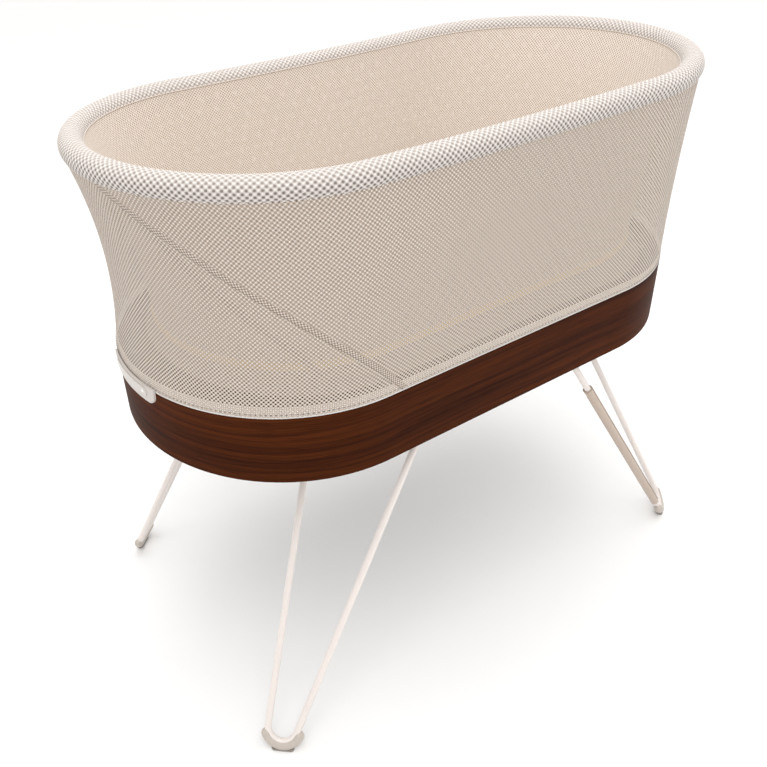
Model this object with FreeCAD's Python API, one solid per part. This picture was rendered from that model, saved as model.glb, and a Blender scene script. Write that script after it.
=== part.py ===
import FreeCAD, Part
import math
import os

os.makedirs("parts", exist_ok=True)
V = FreeCAD.Vector

# Bassinet on a four-legged stand.  Millimetres, +Z up, origin on the floor under the middle.
# X runs along the length, Y across it.  Every oval is a stadium with half-ellipse ends:
# a straight half length, an end length along X and a half width along Y.

# ---- driving dimensions -------------------------------------------------------------------
# bentwood band
band_straight = 203.6     # half length of the straight side
band_end = 225.5          # length of the half-ellipse end
band_half_width = 237.0
band_wall = 9.0
band_bottom = 412.0
band_height = 94.0
band_edge_round = 1.2
# rim
rim_straight = 213.0
rim_end = 219.0
rim_half_width = 226.2
rim_top = 791.0
roll_radius = 15.0        # outside of the fabric roll
sleeve_wall = 2.6         # knitted fabric on the roll
sleeve_opening = 38.0     # degrees each side of straight down where the walls hang
hoop_diameter = 12.0
foam_slit = 10.0
# fabric walls
mesh_wall = 2.6
wall_top_below_rim = 26.0
wall_top_flare = 14.5     # wall's top edge stands this far outside the hoop's centre line
wall_waist = 17.0         # how far the ends draw in at half height
lining_waist = 9.0
lining_wall = 2.0
piping_height = 3.0
# base
pan_wall = 3.0
pan_floor = 3.0
pan_rise = 6.0            # pan floor above the band's lower edge
pan_post_radius = 5.0     # posts that carry the deck
cover_plate = 3.0
deck_plate = 4.0
deck_drop = 8.0           # deck's top below the band's top
cover_screw_inset = 30.0
cover_screw_count = 10
deck_screw_inset = 22.0
deck_screw_count = 12
# moving platform and mattress
platform_straight = 174.0
platform_half_width = 198.0
platform_top = 545.0
platform_lip = 17.0
platform_skin = 3.0
platform_hole_radius = 9.0
platform_hole_pitch = 42.0
platform_hole_y = 95.0
glide_x = 250.0
glide_y = 110.0
glide_radius = 11.0
mattress_thickness = 32.0
mattress_round = 7.0
mattress_gap = 1.5        # mattress to the platform's rim
swivel_deg = 2.5
# pivot and drive
shaft_diameter = 20.0
bush_wall = 4.0
hub_wall = 7.0
hub_length = 50.0
hub_flange_width = 14.0
hub_plate = 4.0
hub_rib = 3.0
bush_length = 14.0
bush_collar = 2.0
bush_collar_width = 5.0
shaft_flange_radius = 36.0
shaft_flange = 6.0
shaft_tail = 8.0          # shaft below the lower bush
circlip_wire = 1.1
circlip_depth = 1.0
gear_module = 2.0
sector_teeth = 126
pinion_teeth = 14
gear_width = 6.0
sector_half_angle = 9.0
sector_rim = 10.0
sector_neck_angle = 24.0
sector_window_x = 78.0
sector_window_radius = 13.0
backlash = 0.18
motor_diameter = 52.0
motor_length = 34.0
motor_shaft_diameter = 8.0
motor_bracket = 3.0
motor_nose_radius = 10.5
# legs
rod_diameter = 9.5
foot_x = 397.0
foot_y = 241.0
leg_top_x = 188.0         # middle of a leg's two rods where they meet the band's lower edge
leg_top_y = 165.0
leg_plan_angle = 41.5     # degrees between a leg's plane and X
rod_half_gap = 68.0
foot_bend_radius = 20.5
rod_knee = 26.0           # knee below the band's lower edge
knee_radius = 70.0
spigot_above_floor = 34.0
socket_wall = 4.0
socket_pad_radius = 15.0
socket_plate = 4.0
socket_web = 6.0
socket_web_height = 22.0
socket_screw_along = 38.0
socket_screw_out = 7.0
sole_thickness = 4.0
sole_half_length = 16.0
sole_half_width = 5.0
shoe_radius = 7.0
shoe_offset = 4.5
shoe_half_angle = 66.0
shoe_flat = 2.4           # how much of the shoe is cut flat above the sole
channel_wall = 2.2
channel_top = 344.0
channel_bottom = 40.0
channel_slot = 4.0
channel_fit = 0.15
# end control
tab_half_width = 60.0
tab_drop = 18.0           # tab's lower edge below the band's top
tab_rise = 5.0
tab_thickness = 2.6
tab_corner = 13.0
button_half_width = 46.0
button_half_height = 6.0
button_travel = 1.2
button_proud = 1.2
lamp_radius = 2.2
lamp_proud = 1.5
lamp_y = -38.0
lamp_gap = 0.1
button_gap = 0.4
switch_thickness = 0.6
switch_gap = 0.2
# fixings
screw_radius = 1.6
screw_clear_radius = 1.7
screw_head_radius = 3.4
screw_head = 2.2
# diagonal struts between the wall's two layers
strut_diameter = 8.0
strut_inset = 10.5        # centre line inside the outer face of the mesh
strut_foot_inset = 21.0
strut_top_angle = 187.0   # angle of the oval's parameter at the rim
strut_foot_angle = 264.2
strut_foot_radius = 9.0
# electrics
inlet_x = 300.0
inlet_y = 40.0
inlet_radius = 11.0
speaker_x = -250.0
speaker_radius = 40.0
grille_pitch = 7.0
grille_slot = 2.4
board_left = -190.0
board_length = 120.0
board_width = 78.0
board_plate = 1.6
board_above_floor = 10.0
board_post_inset = 5.0
board_post_radius = 3.2
# clearances
seat_gap = 0.5            # between parts that are assembled by hand
run_gap = 0.05            # radial, shaft in bush
spigot_gap = 0.3          # radial, leg rod in its socket and in the plates it passes
soft_gap = 0.4            # soft parts to their neighbours
glide_gap = 0.3           # parts that slide face to face
cut = 1.0                 # how far a cutter runs past a face
swing_gap = 1.5           # beyond the platform's sweep

# ---- worked out ---------------------------------------------------------------------------
band_top = band_bottom + band_height
rim_z = rim_top - roll_radius
pan_base = band_bottom + pan_rise
floor_top = pan_base + pan_floor
deck_top = band_top - deck_drop
deck_base = deck_top - deck_plate
sweep = platform_straight * math.sin(math.radians(swivel_deg)) + swing_gap
platform_base = platform_top - platform_lip
mattress_base = platform_base + platform_skin
mattress_top = mattress_base + mattress_thickness
wall_base = band_top + piping_height
wall_top = rim_top - wall_top_below_rim
lining_base = platform_top + 4.0
gear_low = platform_base - gear_width
pinion_top = platform_base - 2 * glide_gap
shaft_low = deck_base - hub_length - bush_collar - shaft_tail
circlip_z = shaft_low + shaft_tail / 2
bush_outer = shaft_diameter / 2 + run_gap + bush_wall
hub_outer = bush_outer + hub_wall
hub_flange_radius = hub_outer + hub_flange_width
collar_top = platform_base - shaft_flange - glide_gap
motor_x = gear_module * (sector_teeth + pinion_teeth) / 2
motor_bracket_half = motor_diameter / 2 + 9.0
board_z = floor_top + board_above_floor

CORNERS = {"front_left": (-1, -1), "front_right": (1, -1), "back_left": (-1, 1), "back_right": (1, 1)}


# ---- helpers ------------------------------------------------------------------------------
def save(name, shape):
    """Write one node."""
    if not shape.isValid():
        print("NOT VALID", name)
    shape.exportStep("parts/%s.step" % name)
    print("%-24s solids %d volume %.0f" % (name, len(shape.Solids), shape.Volume))


def ellipse_arc(near, end, centre):
    """Half ellipse from the point `near` (across) round `end` (along) to the opposite side."""
    if (near - centre).Length >= (end - centre).Length:
        return Part.Ellipse(near, end, centre).toShape(0, math.pi)
    opposite = centre * 2 - near
    return Part.Ellipse(end, opposite, centre).toShape(-math.pi / 2, math.pi / 2)


def oval(straight, end, half, z):
    """Closed stadium wire at height z."""
    a, b = V(-straight, half, z), V(straight, half, z)
    c, d = V(straight, -half, z), V(-straight, -half, z)
    right = ellipse_arc(b, V(straight + end, 0, z), V(straight, 0, z))
    left = ellipse_arc(d, V(-straight - end, 0, z), V(-straight, 0, z))
    edges = [Part.LineSegment(a, b).toShape(), right, Part.LineSegment(c, d).toShape(), left]
    return Part.Wire(edges)


def slab(straight, end, half, z0, z1):
    """Solid stadium between two heights."""
    return Part.Face(oval(straight, end, half, z0)).extrude(V(0, 0, z1 - z0))


def rod(p, direction, radius, length):
    return Part.makeCylinder(radius, length, p, direction)


def fuse_all(shapes):
    result = shapes[0]
    for other in shapes[1:]:
        result = result.fuse(other)
    return result.removeSplitter()


def band_slab(inset, z0, z1):
    return slab(band_straight, band_end - inset, band_half_width - inset, z0, z1)


def hole(at, radius, z0, z1):
    """Upright cutter at a point's x and y between two heights."""
    return Part.makeCylinder(radius, z1 - z0, V(at.x, at.y, z0))


def screws(points, z, head_up, shank):
    """Pan-head screws as separate solids: z is under the heads, the shanks go the other way."""
    up = V(0, 0, 1 if head_up else -1)
    made = []
    for p in points:
        at = V(p.x, p.y, z)
        body = Part.makeCylinder(screw_radius, shank, at, up * -1)
        body = body.fuse(Part.makeCylinder(screw_head_radius, screw_head, at, up))
        recess = Part.makeCylinder(screw_head_radius * 0.42, screw_head * 0.6, at + up * (screw_head * 0.4), up)
        made.append(body.cut(recess))
    return Part.makeCompound(made)


def around(straight, end, half, count):
    """Points spread round an oval by its angle, at z = 0."""
    points = []
    for i in range(count):
        angle = 2 * math.pi * (i + 0.5) / count
        x = math.copysign(straight, math.cos(angle)) + end * math.cos(angle)
        points.append(V(x, half * math.sin(angle), 0))
    return points


# ---- wooden band, pan, covers -------------------------------------------------------------
def make_band():
    ring = band_slab(0, band_bottom, band_top).cut(band_slab(band_wall, band_bottom - 1, band_top + 1))
    outer_edges = []
    for edge in ring.Edges:
        box = edge.BoundBox
        flat = abs(box.ZMax - box.ZMin) < 0.01
        middle = edge.valueAt((edge.FirstParameter + edge.LastParameter) / 2)
        outside = abs(middle.y) > band_half_width - 0.5 or abs(middle.x) > band_straight + band_end - 0.5
        if flat and outside:
            outer_edges.append(edge)
    return ring.makeFillet(band_edge_round, outer_edges)


pan_inset = band_wall + seat_gap
cover_points = around(band_straight, band_end - cover_screw_inset, band_half_width - cover_screw_inset,
                      cover_screw_count)
deck_points = around(band_straight, band_end - deck_screw_inset, band_half_width - deck_screw_inset,
                     deck_screw_count)


def leg_axes(sx, sy):
    """Spigot direction, rod direction in plan and the two spigot points on the band's bottom."""
    top = V(sx * leg_top_x, sy * leg_top_y, band_bottom)
    turn = math.radians(leg_plan_angle)
    across = V(sx * math.cos(turn), -sy * math.sin(turn), 0)
    foot = V(sx * foot_x, sy * foot_y, foot_height())
    along = (top - foot).normalize()
    upright = (along - across * along.dot(across)).normalize()
    return along, across, upright, foot, top


def foot_height():
    """Height of the rod's centre line at the bottom of the bend."""
    return sole_thickness + shoe_radius + shoe_offset * 0.9 - shoe_flat


def spigot_holes(radius, z0, z1):
    holes = []
    for sx, sy in CORNERS.values():
        along, across, upright, foot, top = leg_axes(sx, sy)
        for side in (-1, 1):
            p = top + across * (side * rod_half_gap)
            start = p + along * ((z0 - p.z) / along.z)
            holes.append(rod(start, along, radius, (z1 - z0) / along.z))
    return holes


inlet_at = V(inlet_x, inlet_y, 0)
spigot_bore = rod_diameter / 2 + spigot_gap
spigot_reach = 8.0        # a slanted cutter's run past a plate


def make_pan():
    body = band_slab(pan_inset, pan_base, deck_base)
    body = body.cut(band_slab(pan_inset + pan_wall, floor_top, deck_base + cut))
    body = fuse_all([body] + [hole(p, pan_post_radius, floor_top, deck_base) for p in deck_points])
    body = body.common(band_slab(pan_inset, pan_base, deck_base))
    cutters = spigot_holes(spigot_bore, pan_base - spigot_reach, floor_top + spigot_reach)
    cutters += [hole(p, screw_radius, pan_base - cut, floor_top + cut) for p in cover_points]
    cutters += [hole(p, screw_radius, deck_base - deck_pilot, deck_base + cut) for p in deck_points]
    cutters.append(hole(inlet_at, inlet_radius, pan_base - cut, floor_top + cut))
    for sx, sy in CORNERS.values():
        cutters += [hole(p, screw_radius, pan_base - cut, floor_top + cut) for p in socket_screw_points(sx, sy)]
    for cutter in cutters:
        body = body.cut(cutter)
    return body.cut(grille_slots(pan_base - cut, floor_top + cut))


def grille_slots(z0, z1):
    """A round patch of parallel slots under the speaker."""
    slots = []
    reach = speaker_radius - grille_pitch
    count = int(reach // grille_pitch)
    for i in range(-count, count + 1):
        y = i * grille_pitch
        half = math.sqrt(reach * reach - y * y) - grille_slot
        slots.append(Part.makeBox(2 * half, grille_slot, z1 - z0, V(speaker_x - half, y - grille_slot / 2, z0)))
    return Part.makeCompound(slots)


def make_cover():
    low = pan_base - cover_plate
    plate = band_slab(pan_inset, low, pan_base)
    cutters = spigot_holes(spigot_bore, low - spigot_reach, pan_base + spigot_reach)
    cutters += [hole(p, screw_radius, low - cut, pan_base + cut) for p in cover_points]
    cutters.append(hole(inlet_at, inlet_radius, low - cut, pan_base + cut))
    for cutter in cutters:
        plate = plate.cut(cutter)
    return plate.cut(grille_slots(low - cut, pan_base + cut))


deck_pilot = 15.0         # depth of the deck screws' pilot holes
pinion_hole = gear_module * pinion_teeth / 2 + 4.0
hub_screw_radius = hub_outer + 8.0


def make_deck():
    plate = band_slab(pan_inset, deck_base, deck_top)
    plate = plate.cut(hole(V(0, 0, 0), bush_outer, deck_base - cut, deck_top + cut))
    plate = plate.cut(hole(V(motor_x, 0, 0), pinion_hole, deck_base - cut, deck_top + cut))
    for p in deck_points + hub_screws + motor_screws:
        plate = plate.cut(hole(p, screw_clear_radius, deck_base - cut, deck_top + cut))
    return plate


hub_screws = [V(math.cos(a) * hub_screw_radius, math.sin(a) * hub_screw_radius, 0)
              for a in (math.pi / 4 + i * math.pi / 2 for i in range(4))]
motor_screw_reach = motor_bracket_half - 5.0
motor_screws = [V(motor_x + sx * motor_screw_reach, sy * motor_screw_reach, 0)
                for sx in (-1, 1) for sy in (-1, 1)]


def make_hub():
    low = deck_base - hub_length
    tube = Part.makeCylinder(hub_outer, hub_length, V(0, 0, low))
    flange = Part.makeCylinder(hub_flange_radius, hub_plate, V(0, 0, deck_base - hub_plate))
    ribs = []
    for i in range(4):
        rib_low = V(0, -hub_rib / 2, low + hub_length / 2)
        rib = Part.makeBox(hub_flange_radius - hub_rib, hub_rib, hub_length / 2, rib_low)
        ribs.append(rib.rotate(V(0, 0, 0), V(0, 0, 1), 90 * i))
    body = fuse_all([tube, flange] + ribs)
    body = body.cut(hole(V(0, 0, 0), bush_outer, low - cut, deck_base + cut))
    for p in hub_screws:
        body = body.cut(hole(p, screw_radius, deck_base - hub_plate - cut, deck_base + cut))
    return body


def make_bush(upper):
    """Flanged plain bearing; the upper one's collar carries the shaft's flange."""
    centre = V(0, 0, 0)
    low = deck_base - (bush_length if upper else hub_length)
    high = collar_top if upper else low + bush_length
    collar_low, collar_high = (deck_top, collar_top) if upper else (low - bush_collar, low)
    body = hole(centre, bush_outer, low, high)
    body = body.fuse(hole(centre, bush_outer + bush_collar_width, collar_low, collar_high))
    bore = hole(centre, shaft_diameter / 2 + run_gap, collar_low - hub_length, collar_high + hub_length)
    return body.cut(bore).removeSplitter()


flange_screw_radius = shaft_flange_radius - 8.0
flange_screws = [V(flange_screw_radius * math.cos(math.pi * i / 3),
                   flange_screw_radius * math.sin(math.pi * i / 3), 0) for i in range(6)]


def tube(outer, inner, z0, z1):
    return hole(V(0, 0, 0), outer, z0, z1).cut(hole(V(0, 0, 0), inner, z0 - cut, z1 + cut))


def make_shaft():
    body = hole(V(0, 0, 0), shaft_diameter / 2, shaft_low, platform_base)
    body = body.fuse(hole(V(0, 0, 0), shaft_flange_radius, platform_base - shaft_flange, platform_base))
    groove_high = circlip_z + circlip_wire + 2 * run_gap
    body = body.cut(tube(shaft_diameter / 2 + cut, shaft_diameter / 2 - circlip_depth, circlip_z, groove_high))
    for p in flange_screws:
        body = body.cut(hole(p, screw_radius, platform_base - shaft_flange - cut, platform_base + cut))
    return body.removeSplitter()


def make_circlip():
    low = circlip_z + run_gap
    ring = tube(shaft_diameter / 2 + 4.0, shaft_diameter / 2 - circlip_depth, low, low + circlip_wire)
    return ring.cut(Part.makeBox(shaft_diameter, 5.0, circlip_wire + 2 * cut, V(0, -2.5, low - cut)))


# ---- gears --------------------------------------------------------------------------------
pressure_angle = math.radians(20)
flank_steps = 5
sector_dedendum = 1.35 * gear_module
pinion_dedendum = 1.3 * gear_module
pinion_addendum = 0.9 * gear_module
pinion_boss_radius = 9.0
pinion_boss = 4.0


def involute_tooth(teeth, addendum, dedendum):
    """Half-profile of one tooth about angle 0: list of (radius, half angle) from root to tip."""
    pitch = gear_module * teeth / 2
    base = pitch * math.cos(pressure_angle)
    involute = math.tan(pressure_angle) - pressure_angle
    half_at_pitch = math.pi / (2 * teeth) - backlash / pitch
    root, tip = pitch - dedendum, pitch + addendum
    profile = []
    if root < base:
        profile.append((root, half_at_pitch + involute))
    start = max(root, base)
    for i in range(flank_steps + 1):
        r = start + (tip - start) * i / flank_steps
        angle = math.acos(min(1.0, base / r))
        profile.append((r, half_at_pitch + involute - (math.tan(angle) - angle)))
    return profile


def gear_outline(teeth, first, last, phase, addendum, dedendum):
    """Points of the teeth numbered first to last, in turn about the gear's own centre."""
    points = []
    profile = involute_tooth(teeth, addendum, dedendum)
    for n in range(first, last + 1):
        middle = phase + 2 * math.pi * n / teeth
        for r, h in profile:
            points.append(V(r * math.cos(middle - h), r * math.sin(middle - h), 0))
        for r, h in reversed(profile):
            points.append(V(r * math.cos(middle + h), r * math.sin(middle + h), 0))
    return points


sector_root = gear_module * sector_teeth / 2 - sector_dedendum
sector_inner = shaft_flange_radius + 2.0
sector_screws = [V(x, y, 0) for x, y in ((52, 14), (52, -14), (104, 9), (104, -9))]


def polar(radius, angle):
    return V(radius * math.cos(angle), radius * math.sin(angle), 0)


def make_sector():
    teeth = int(sector_half_angle / 360 * sector_teeth)
    points = gear_outline(sector_teeth, -teeth, teeth, 0.0, gear_module, sector_dedendum)
    edge = 2 * math.pi * (teeth + 0.5) / sector_teeth
    neck = math.radians(sector_neck_angle)
    points += [polar(sector_root, edge), polar(sector_root - sector_rim, edge), polar(sector_inner, neck)]
    tail = [polar(sector_inner, -neck), polar(sector_root - sector_rim, -edge)]
    tail += [polar(sector_root, -edge), points[0]]
    edges = [Part.LineSegment(p, q).toShape() for p, q in zip(points, points[1:])]
    edges.append(Part.Arc(points[-1], polar(sector_inner, 0), tail[0]).toShape())
    edges += [Part.LineSegment(p, q).toShape() for p, q in zip(tail, tail[1:])]
    body = Part.Face(Part.Wire(edges)).extrude(V(0, 0, gear_width))
    body.translate(V(0, 0, gear_low))
    for p in sector_screws:
        body = body.cut(hole(p, screw_radius, gear_low - cut, platform_base + cut))
    return body.cut(hole(V(sector_window_x, 0, 0), sector_window_radius, gear_low - cut, platform_base + cut))


def make_pinion():
    phase = math.pi + math.pi / pinion_teeth
    points = gear_outline(pinion_teeth, 0, pinion_teeth - 1, phase, pinion_addendum, pinion_dedendum)
    points.append(points[0])
    width = gear_width + cut
    body = Part.Face(Part.makePolygon(points)).extrude(V(0, 0, width))
    body = body.fuse(hole(V(0, 0, 0), pinion_boss_radius, -pinion_boss, 0))
    body = body.cut(hole(V(0, 0, 0), motor_shaft_diameter / 2, -pinion_boss - cut, width + cut))
    body.translate(V(motor_x, 0, pinion_top - width))
    return body.removeSplitter()


motor_at = V(motor_x, 0, 0)
motor_top = deck_base - motor_bracket
motor_shaft_low = motor_top - 19.0


def make_motor_plate():
    half = motor_bracket_half
    plate = Part.makeBox(2 * half, 2 * half, motor_bracket, V(motor_x - half, -half, motor_top))
    upright = [e for e in plate.Edges if e.BoundBox.ZLength > motor_bracket / 2]
    plate = plate.makeFillet(6.0, upright)
    plate = plate.cut(hole(motor_at, motor_nose_radius + seat_gap, motor_top - cut, deck_base + cut))
    for p in motor_screws:
        plate = plate.cut(hole(p, screw_clear_radius, motor_top - cut, deck_base + cut))
    return plate


def make_motor():
    body = hole(motor_at, motor_diameter / 2, motor_top - motor_length, motor_top)
    body = body.makeFillet(3.0, [e for e in body.Edges if e.BoundBox.ZMax < motor_top - motor_length / 2])
    body = body.fuse(hole(motor_at, motor_nose_radius, motor_top, deck_base - seat_gap))
    bore = hole(motor_at, motor_shaft_diameter / 2 + soft_gap, motor_shaft_low - cut, deck_base)
    return body.cut(bore).removeSplitter()


def make_motor_shaft():
    return hole(motor_at, motor_shaft_diameter / 2, motor_shaft_low, pinion_top)


# ---- platform and mattress ----------------------------------------------------------------
def make_platform():
    s, h = platform_straight, platform_half_width
    body = slab(s, h, h, platform_base, platform_top)
    body = body.cut(slab(s, h - platform_skin, h - platform_skin, mattress_base, platform_top + cut))
    for i in range(-4, 5):
        for side in (-1, 1):
            at = V(i * platform_hole_pitch, side * platform_hole_y, 0)
            body = body.cut(hole(at, platform_hole_radius, platform_base - cut, mattress_base + cut))
    for p in flange_screws + sector_screws:
        body = body.cut(hole(p, screw_radius, platform_base - cut, mattress_base + cut))
    return body


def make_mattress():
    h = platform_half_width - platform_skin - mattress_gap
    body = slab(platform_straight, h, h, mattress_base, mattress_top)
    flat = [e for e in body.Edges if e.BoundBox.ZLength < 0.01]
    return body.makeFillet(mattress_round, flat)


# ---- fabric walls and rim -----------------------------------------------------------------
def shell(levels, wall):
    """Loft a wall through (straight, end, half width, z) levels, `wall` thick towards the inside."""
    outer = Part.makeLoft([oval(s, e, h, z) for s, e, h, z in levels], True)
    inner_levels = [(s, e - wall, h - wall, z) for s, e, h, z in levels]
    inner = Part.makeLoft([oval(s, e, h, z) for s, e, h, z in inner_levels], True)
    return outer.cut(inner)


def wall_level(t, low, high, waist):
    """A level at share t of the way from `low` to `high`, drawn in at the ends by the waist."""
    values = [a + (b - a) * t for a, b in zip(low, high)]
    values[1] -= waist * 4 * t * (1 - t)
    return tuple(values)


wall_set_back = 0.6       # the mesh stands just inside the band's face
outer_low = (band_straight, band_end - wall_set_back, band_half_width - wall_set_back, wall_base)
outer_high = (rim_straight, rim_end + wall_top_flare, rim_half_width + wall_top_flare, wall_top)
lining_half = platform_half_width + sweep + lining_wall
lining_low = (platform_straight, lining_half, lining_half, lining_base)
lining_flare = -(wall_top_flare - 1.0)
lining_high = (rim_straight, rim_end + lining_flare, rim_half_width + lining_flare, wall_top)
wall_levels = 6
LEVELS = [i / wall_levels for i in range(wall_levels + 1)]
piping_inset = 0.2
piping_depth = 4.0


def make_outer_mesh():
    return shell([wall_level(t, outer_low, outer_high, wall_waist) for t in LEVELS], mesh_wall)


def make_lining():
    return shell([wall_level(t, lining_low, lining_high, lining_waist) for t in LEVELS], lining_wall)


def make_piping():
    outer = band_slab(piping_inset, band_top, wall_base)
    return outer.cut(band_slab(piping_inset + piping_depth, band_top - cut, wall_base + cut))


def rim_path():
    return oval(rim_straight, rim_end, rim_half_width, rim_z)


def rim_sweep(wire):
    """Sweep a closed wire, drawn in the YZ plane at the middle of the back side, round the rim."""
    wire.translate(V(0, rim_half_width, rim_z))
    path = rim_path()
    start = path.Edges[0]
    half = start.split((start.FirstParameter + start.LastParameter) / 2)
    ordered = [half.Edges[1]] + path.Edges[1:] + [half.Edges[0]]
    spine = Part.Wire(ordered)
    return spine.makePipeShell([wire], True, False)


def c_section(outer, inner, opening):
    """C-shaped section, open by `opening` radians each side of straight down."""
    low = -math.pi / 2

    def at(radius, angle):
        return V(0, radius * math.cos(angle), radius * math.sin(angle))

    a, b = low + opening, low + 2 * math.pi - opening
    out = Part.Arc(at(outer, a), at(outer, math.pi / 2), at(outer, b)).toShape()
    side_b = Part.LineSegment(at(outer, b), at(inner, b)).toShape()
    back = Part.Arc(at(inner, b), at(inner, math.pi / 2), at(inner, a)).toShape()
    side_a = Part.LineSegment(at(inner, a), at(outer, a)).toShape()
    return Part.Wire([out, side_b, back, side_a])


def make_hoop():
    return rim_sweep(Part.Wire(Part.makeCircle(hoop_diameter / 2, V(0, 0, 0), V(1, 0, 0))))


def make_foam():
    outer = roll_radius - sleeve_wall - soft_gap
    inner = hoop_diameter / 2 + soft_gap
    return rim_sweep(c_section(outer, inner, math.asin(foam_slit / 2 / inner)))


def make_sleeve():
    return rim_sweep(c_section(roll_radius, roll_radius - sleeve_wall, math.radians(sleeve_opening)))


# ---- rim struts ---------------------------------------------------------------------------
strut_steps = 7
strut_plate = 4.0
strut_stub = 10.0
straight_share = 0.12     # cosine of the parameter angle where the straight side begins


def strut_points():
    """Centre line of the front strut, from its foot up to the rim."""
    points = []
    for i in range(strut_steps + 1):
        t = i / strut_steps
        s, e, h, z = wall_level(t, outer_low, outer_high, wall_waist)
        angle = math.radians(strut_foot_angle + (strut_top_angle - strut_foot_angle) * t)
        inset = strut_inset + (wall_top_flare - strut_inset) * max(0.0, t - 0.5) * 2
        inset += (strut_foot_inset - strut_inset) * max(0.0, 1 - t * 4)
        x = math.copysign(s, math.cos(angle)) + (e - inset) * math.cos(angle)
        if abs(math.cos(angle)) < straight_share:
            x = s * math.cos(angle) / straight_share + (e - inset) * math.cos(angle)
        points.append(V(x, (h - inset) * math.sin(angle), z))
    return points


def make_strut(turn):
    points = strut_points()
    low = V(points[0].x, points[0].y, deck_top)
    points[0].z = deck_top + strut_stub + strut_plate
    top = V(points[-1].x, points[-1].y, rim_z - hoop_diameter / 2 - soft_gap)
    curve = Part.BSplineCurve()
    curve.interpolate([low] + points + [top])
    path = Part.Wire(curve.toShape())
    start = Part.makeCircle(strut_diameter / 2, low, curve.tangent(curve.FirstParameter)[0])
    body = path.makePipeShell([Part.Wire(start)], True, False)
    body = body.common(band_slab(0, deck_top + strut_plate, rim_top))
    body = body.fuse(Part.makeCylinder(strut_diameter / 2, strut_stub, low))
    body = body.fuse(Part.makeCylinder(strut_foot_radius, strut_plate, low)).removeSplitter()
    body.rotate(V(0, 0, 0), V(0, 0, 1), turn)
    return body


# ---- legs ---------------------------------------------------------------------------------
def leg_frame(sx, sy):
    along, across, upright, foot, top = leg_axes(sx, sy)
    centre = foot + upright * foot_bend_radius
    return along, across, upright, centre, top


def knee_point(sx, sy, side):
    along, across, upright, foot, top = leg_axes(sx, sy)
    return top + across * (side * rod_half_gap) - along * (rod_knee / along.z)


def tangent_point(sx, sy, side):
    """Where a rod meets the foot bend."""
    along, across, upright, centre, top = leg_frame(sx, sy)
    d = knee_point(sx, sy, side) - centre
    u, w = d.dot(across), d.dot(upright)
    reach = math.acos(foot_bend_radius / math.hypot(u, w))
    angle = math.atan2(w, u) - side * reach
    toward = across * math.cos(angle) + upright * math.sin(angle)
    return centre + toward * foot_bend_radius


def corner_arc(p, corner, q, radius):
    """Arc of the given radius tangent to p-corner and corner-q: its start, middle and end."""
    a, b = (p - corner).normalize(), (q - corner).normalize()
    half = math.acos(max(-1.0, min(1.0, a.dot(b)))) / 2
    back = radius / math.tan(half)
    middle = corner + (a + b).normalize() * (radius / math.sin(half) - radius)
    return corner + a * back, middle, corner + b * back


def make_leg(sx, sy):
    along, across, upright, centre, top = leg_frame(sx, sy)
    ends = []
    for side in (-1, 1):
        knee = knee_point(sx, sy, side)
        tip = knee + along * ((floor_top + spigot_above_floor - knee.z) / along.z)
        tangent = tangent_point(sx, sy, side)
        ends.append((tip, corner_arc(tip, knee, tangent, knee_radius), tangent))
    (tip_a, bend_a, tan_a), (tip_b, bend_b, tan_b) = ends
    low = centre - upright * foot_bend_radius
    edges = [Part.LineSegment(tip_a, bend_a[0]).toShape(), Part.Arc(*bend_a).toShape(),
             Part.LineSegment(bend_a[2], tan_a).toShape(), Part.Arc(tan_a, low, tan_b).toShape(),
             Part.LineSegment(tan_b, bend_b[2]).toShape(),
             Part.Arc(bend_b[2], bend_b[1], bend_b[0]).toShape(),
             Part.LineSegment(bend_b[0], tip_b).toShape()]
    path = Part.Wire(edges)
    circle = Part.Wire(Part.makeCircle(rod_diameter / 2, tip_a, along))
    return path.makePipeShell([circle], True, False)


def make_shoe(sx, sy):
    """Crescent shoe that grips the outside of the foot bend."""
    along, across, upright, centre, top = leg_frame(sx, sy)
    radius = foot_bend_radius + shoe_offset
    swing = math.radians(shoe_half_angle)

    def at(angle):
        return centre + across * (radius * math.sin(angle)) - upright * (radius * math.cos(angle))

    path = Part.Wire(Part.Arc(at(-swing), at(0), at(swing)).toShape())
    start = across * math.cos(swing) - upright * math.sin(swing)
    circle = Part.Wire(Part.makeCircle(shoe_radius, at(-swing), start))
    body = path.makePipeShell([circle], True, False)
    ends = [Part.makeSphere(shoe_radius, at(angle)) for angle in (-swing, swing)]
    body = body.fuse(ends[0]).fuse(ends[1])
    reach = 100.0
    corner = V(sx * foot_x - reach, sy * foot_y - reach, sole_thickness)
    above = Part.makeBox(2 * reach, 2 * reach, reach, corner)
    return body.common(above)


def make_sole(sx, sy):
    along, across, upright, centre, top = leg_frame(sx, sy)
    middle = centre - upright * (foot_bend_radius + shoe_offset)
    radius = sole_half_width
    half = sole_half_length - radius
    ends = [Part.makeCylinder(radius, sole_thickness, V(middle.x, middle.y, 0) + across * (side * half))
            for side in (-1, 1)]
    bar = Part.makeBox(2 * half, 2 * radius, sole_thickness, V(-half, -radius, 0))
    bar.rotate(V(0, 0, 0), V(0, 0, 1), math.degrees(math.atan2(across.y, across.x)))
    bar.translate(V(middle.x, middle.y, 0))
    return fuse_all([bar] + ends)


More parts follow.
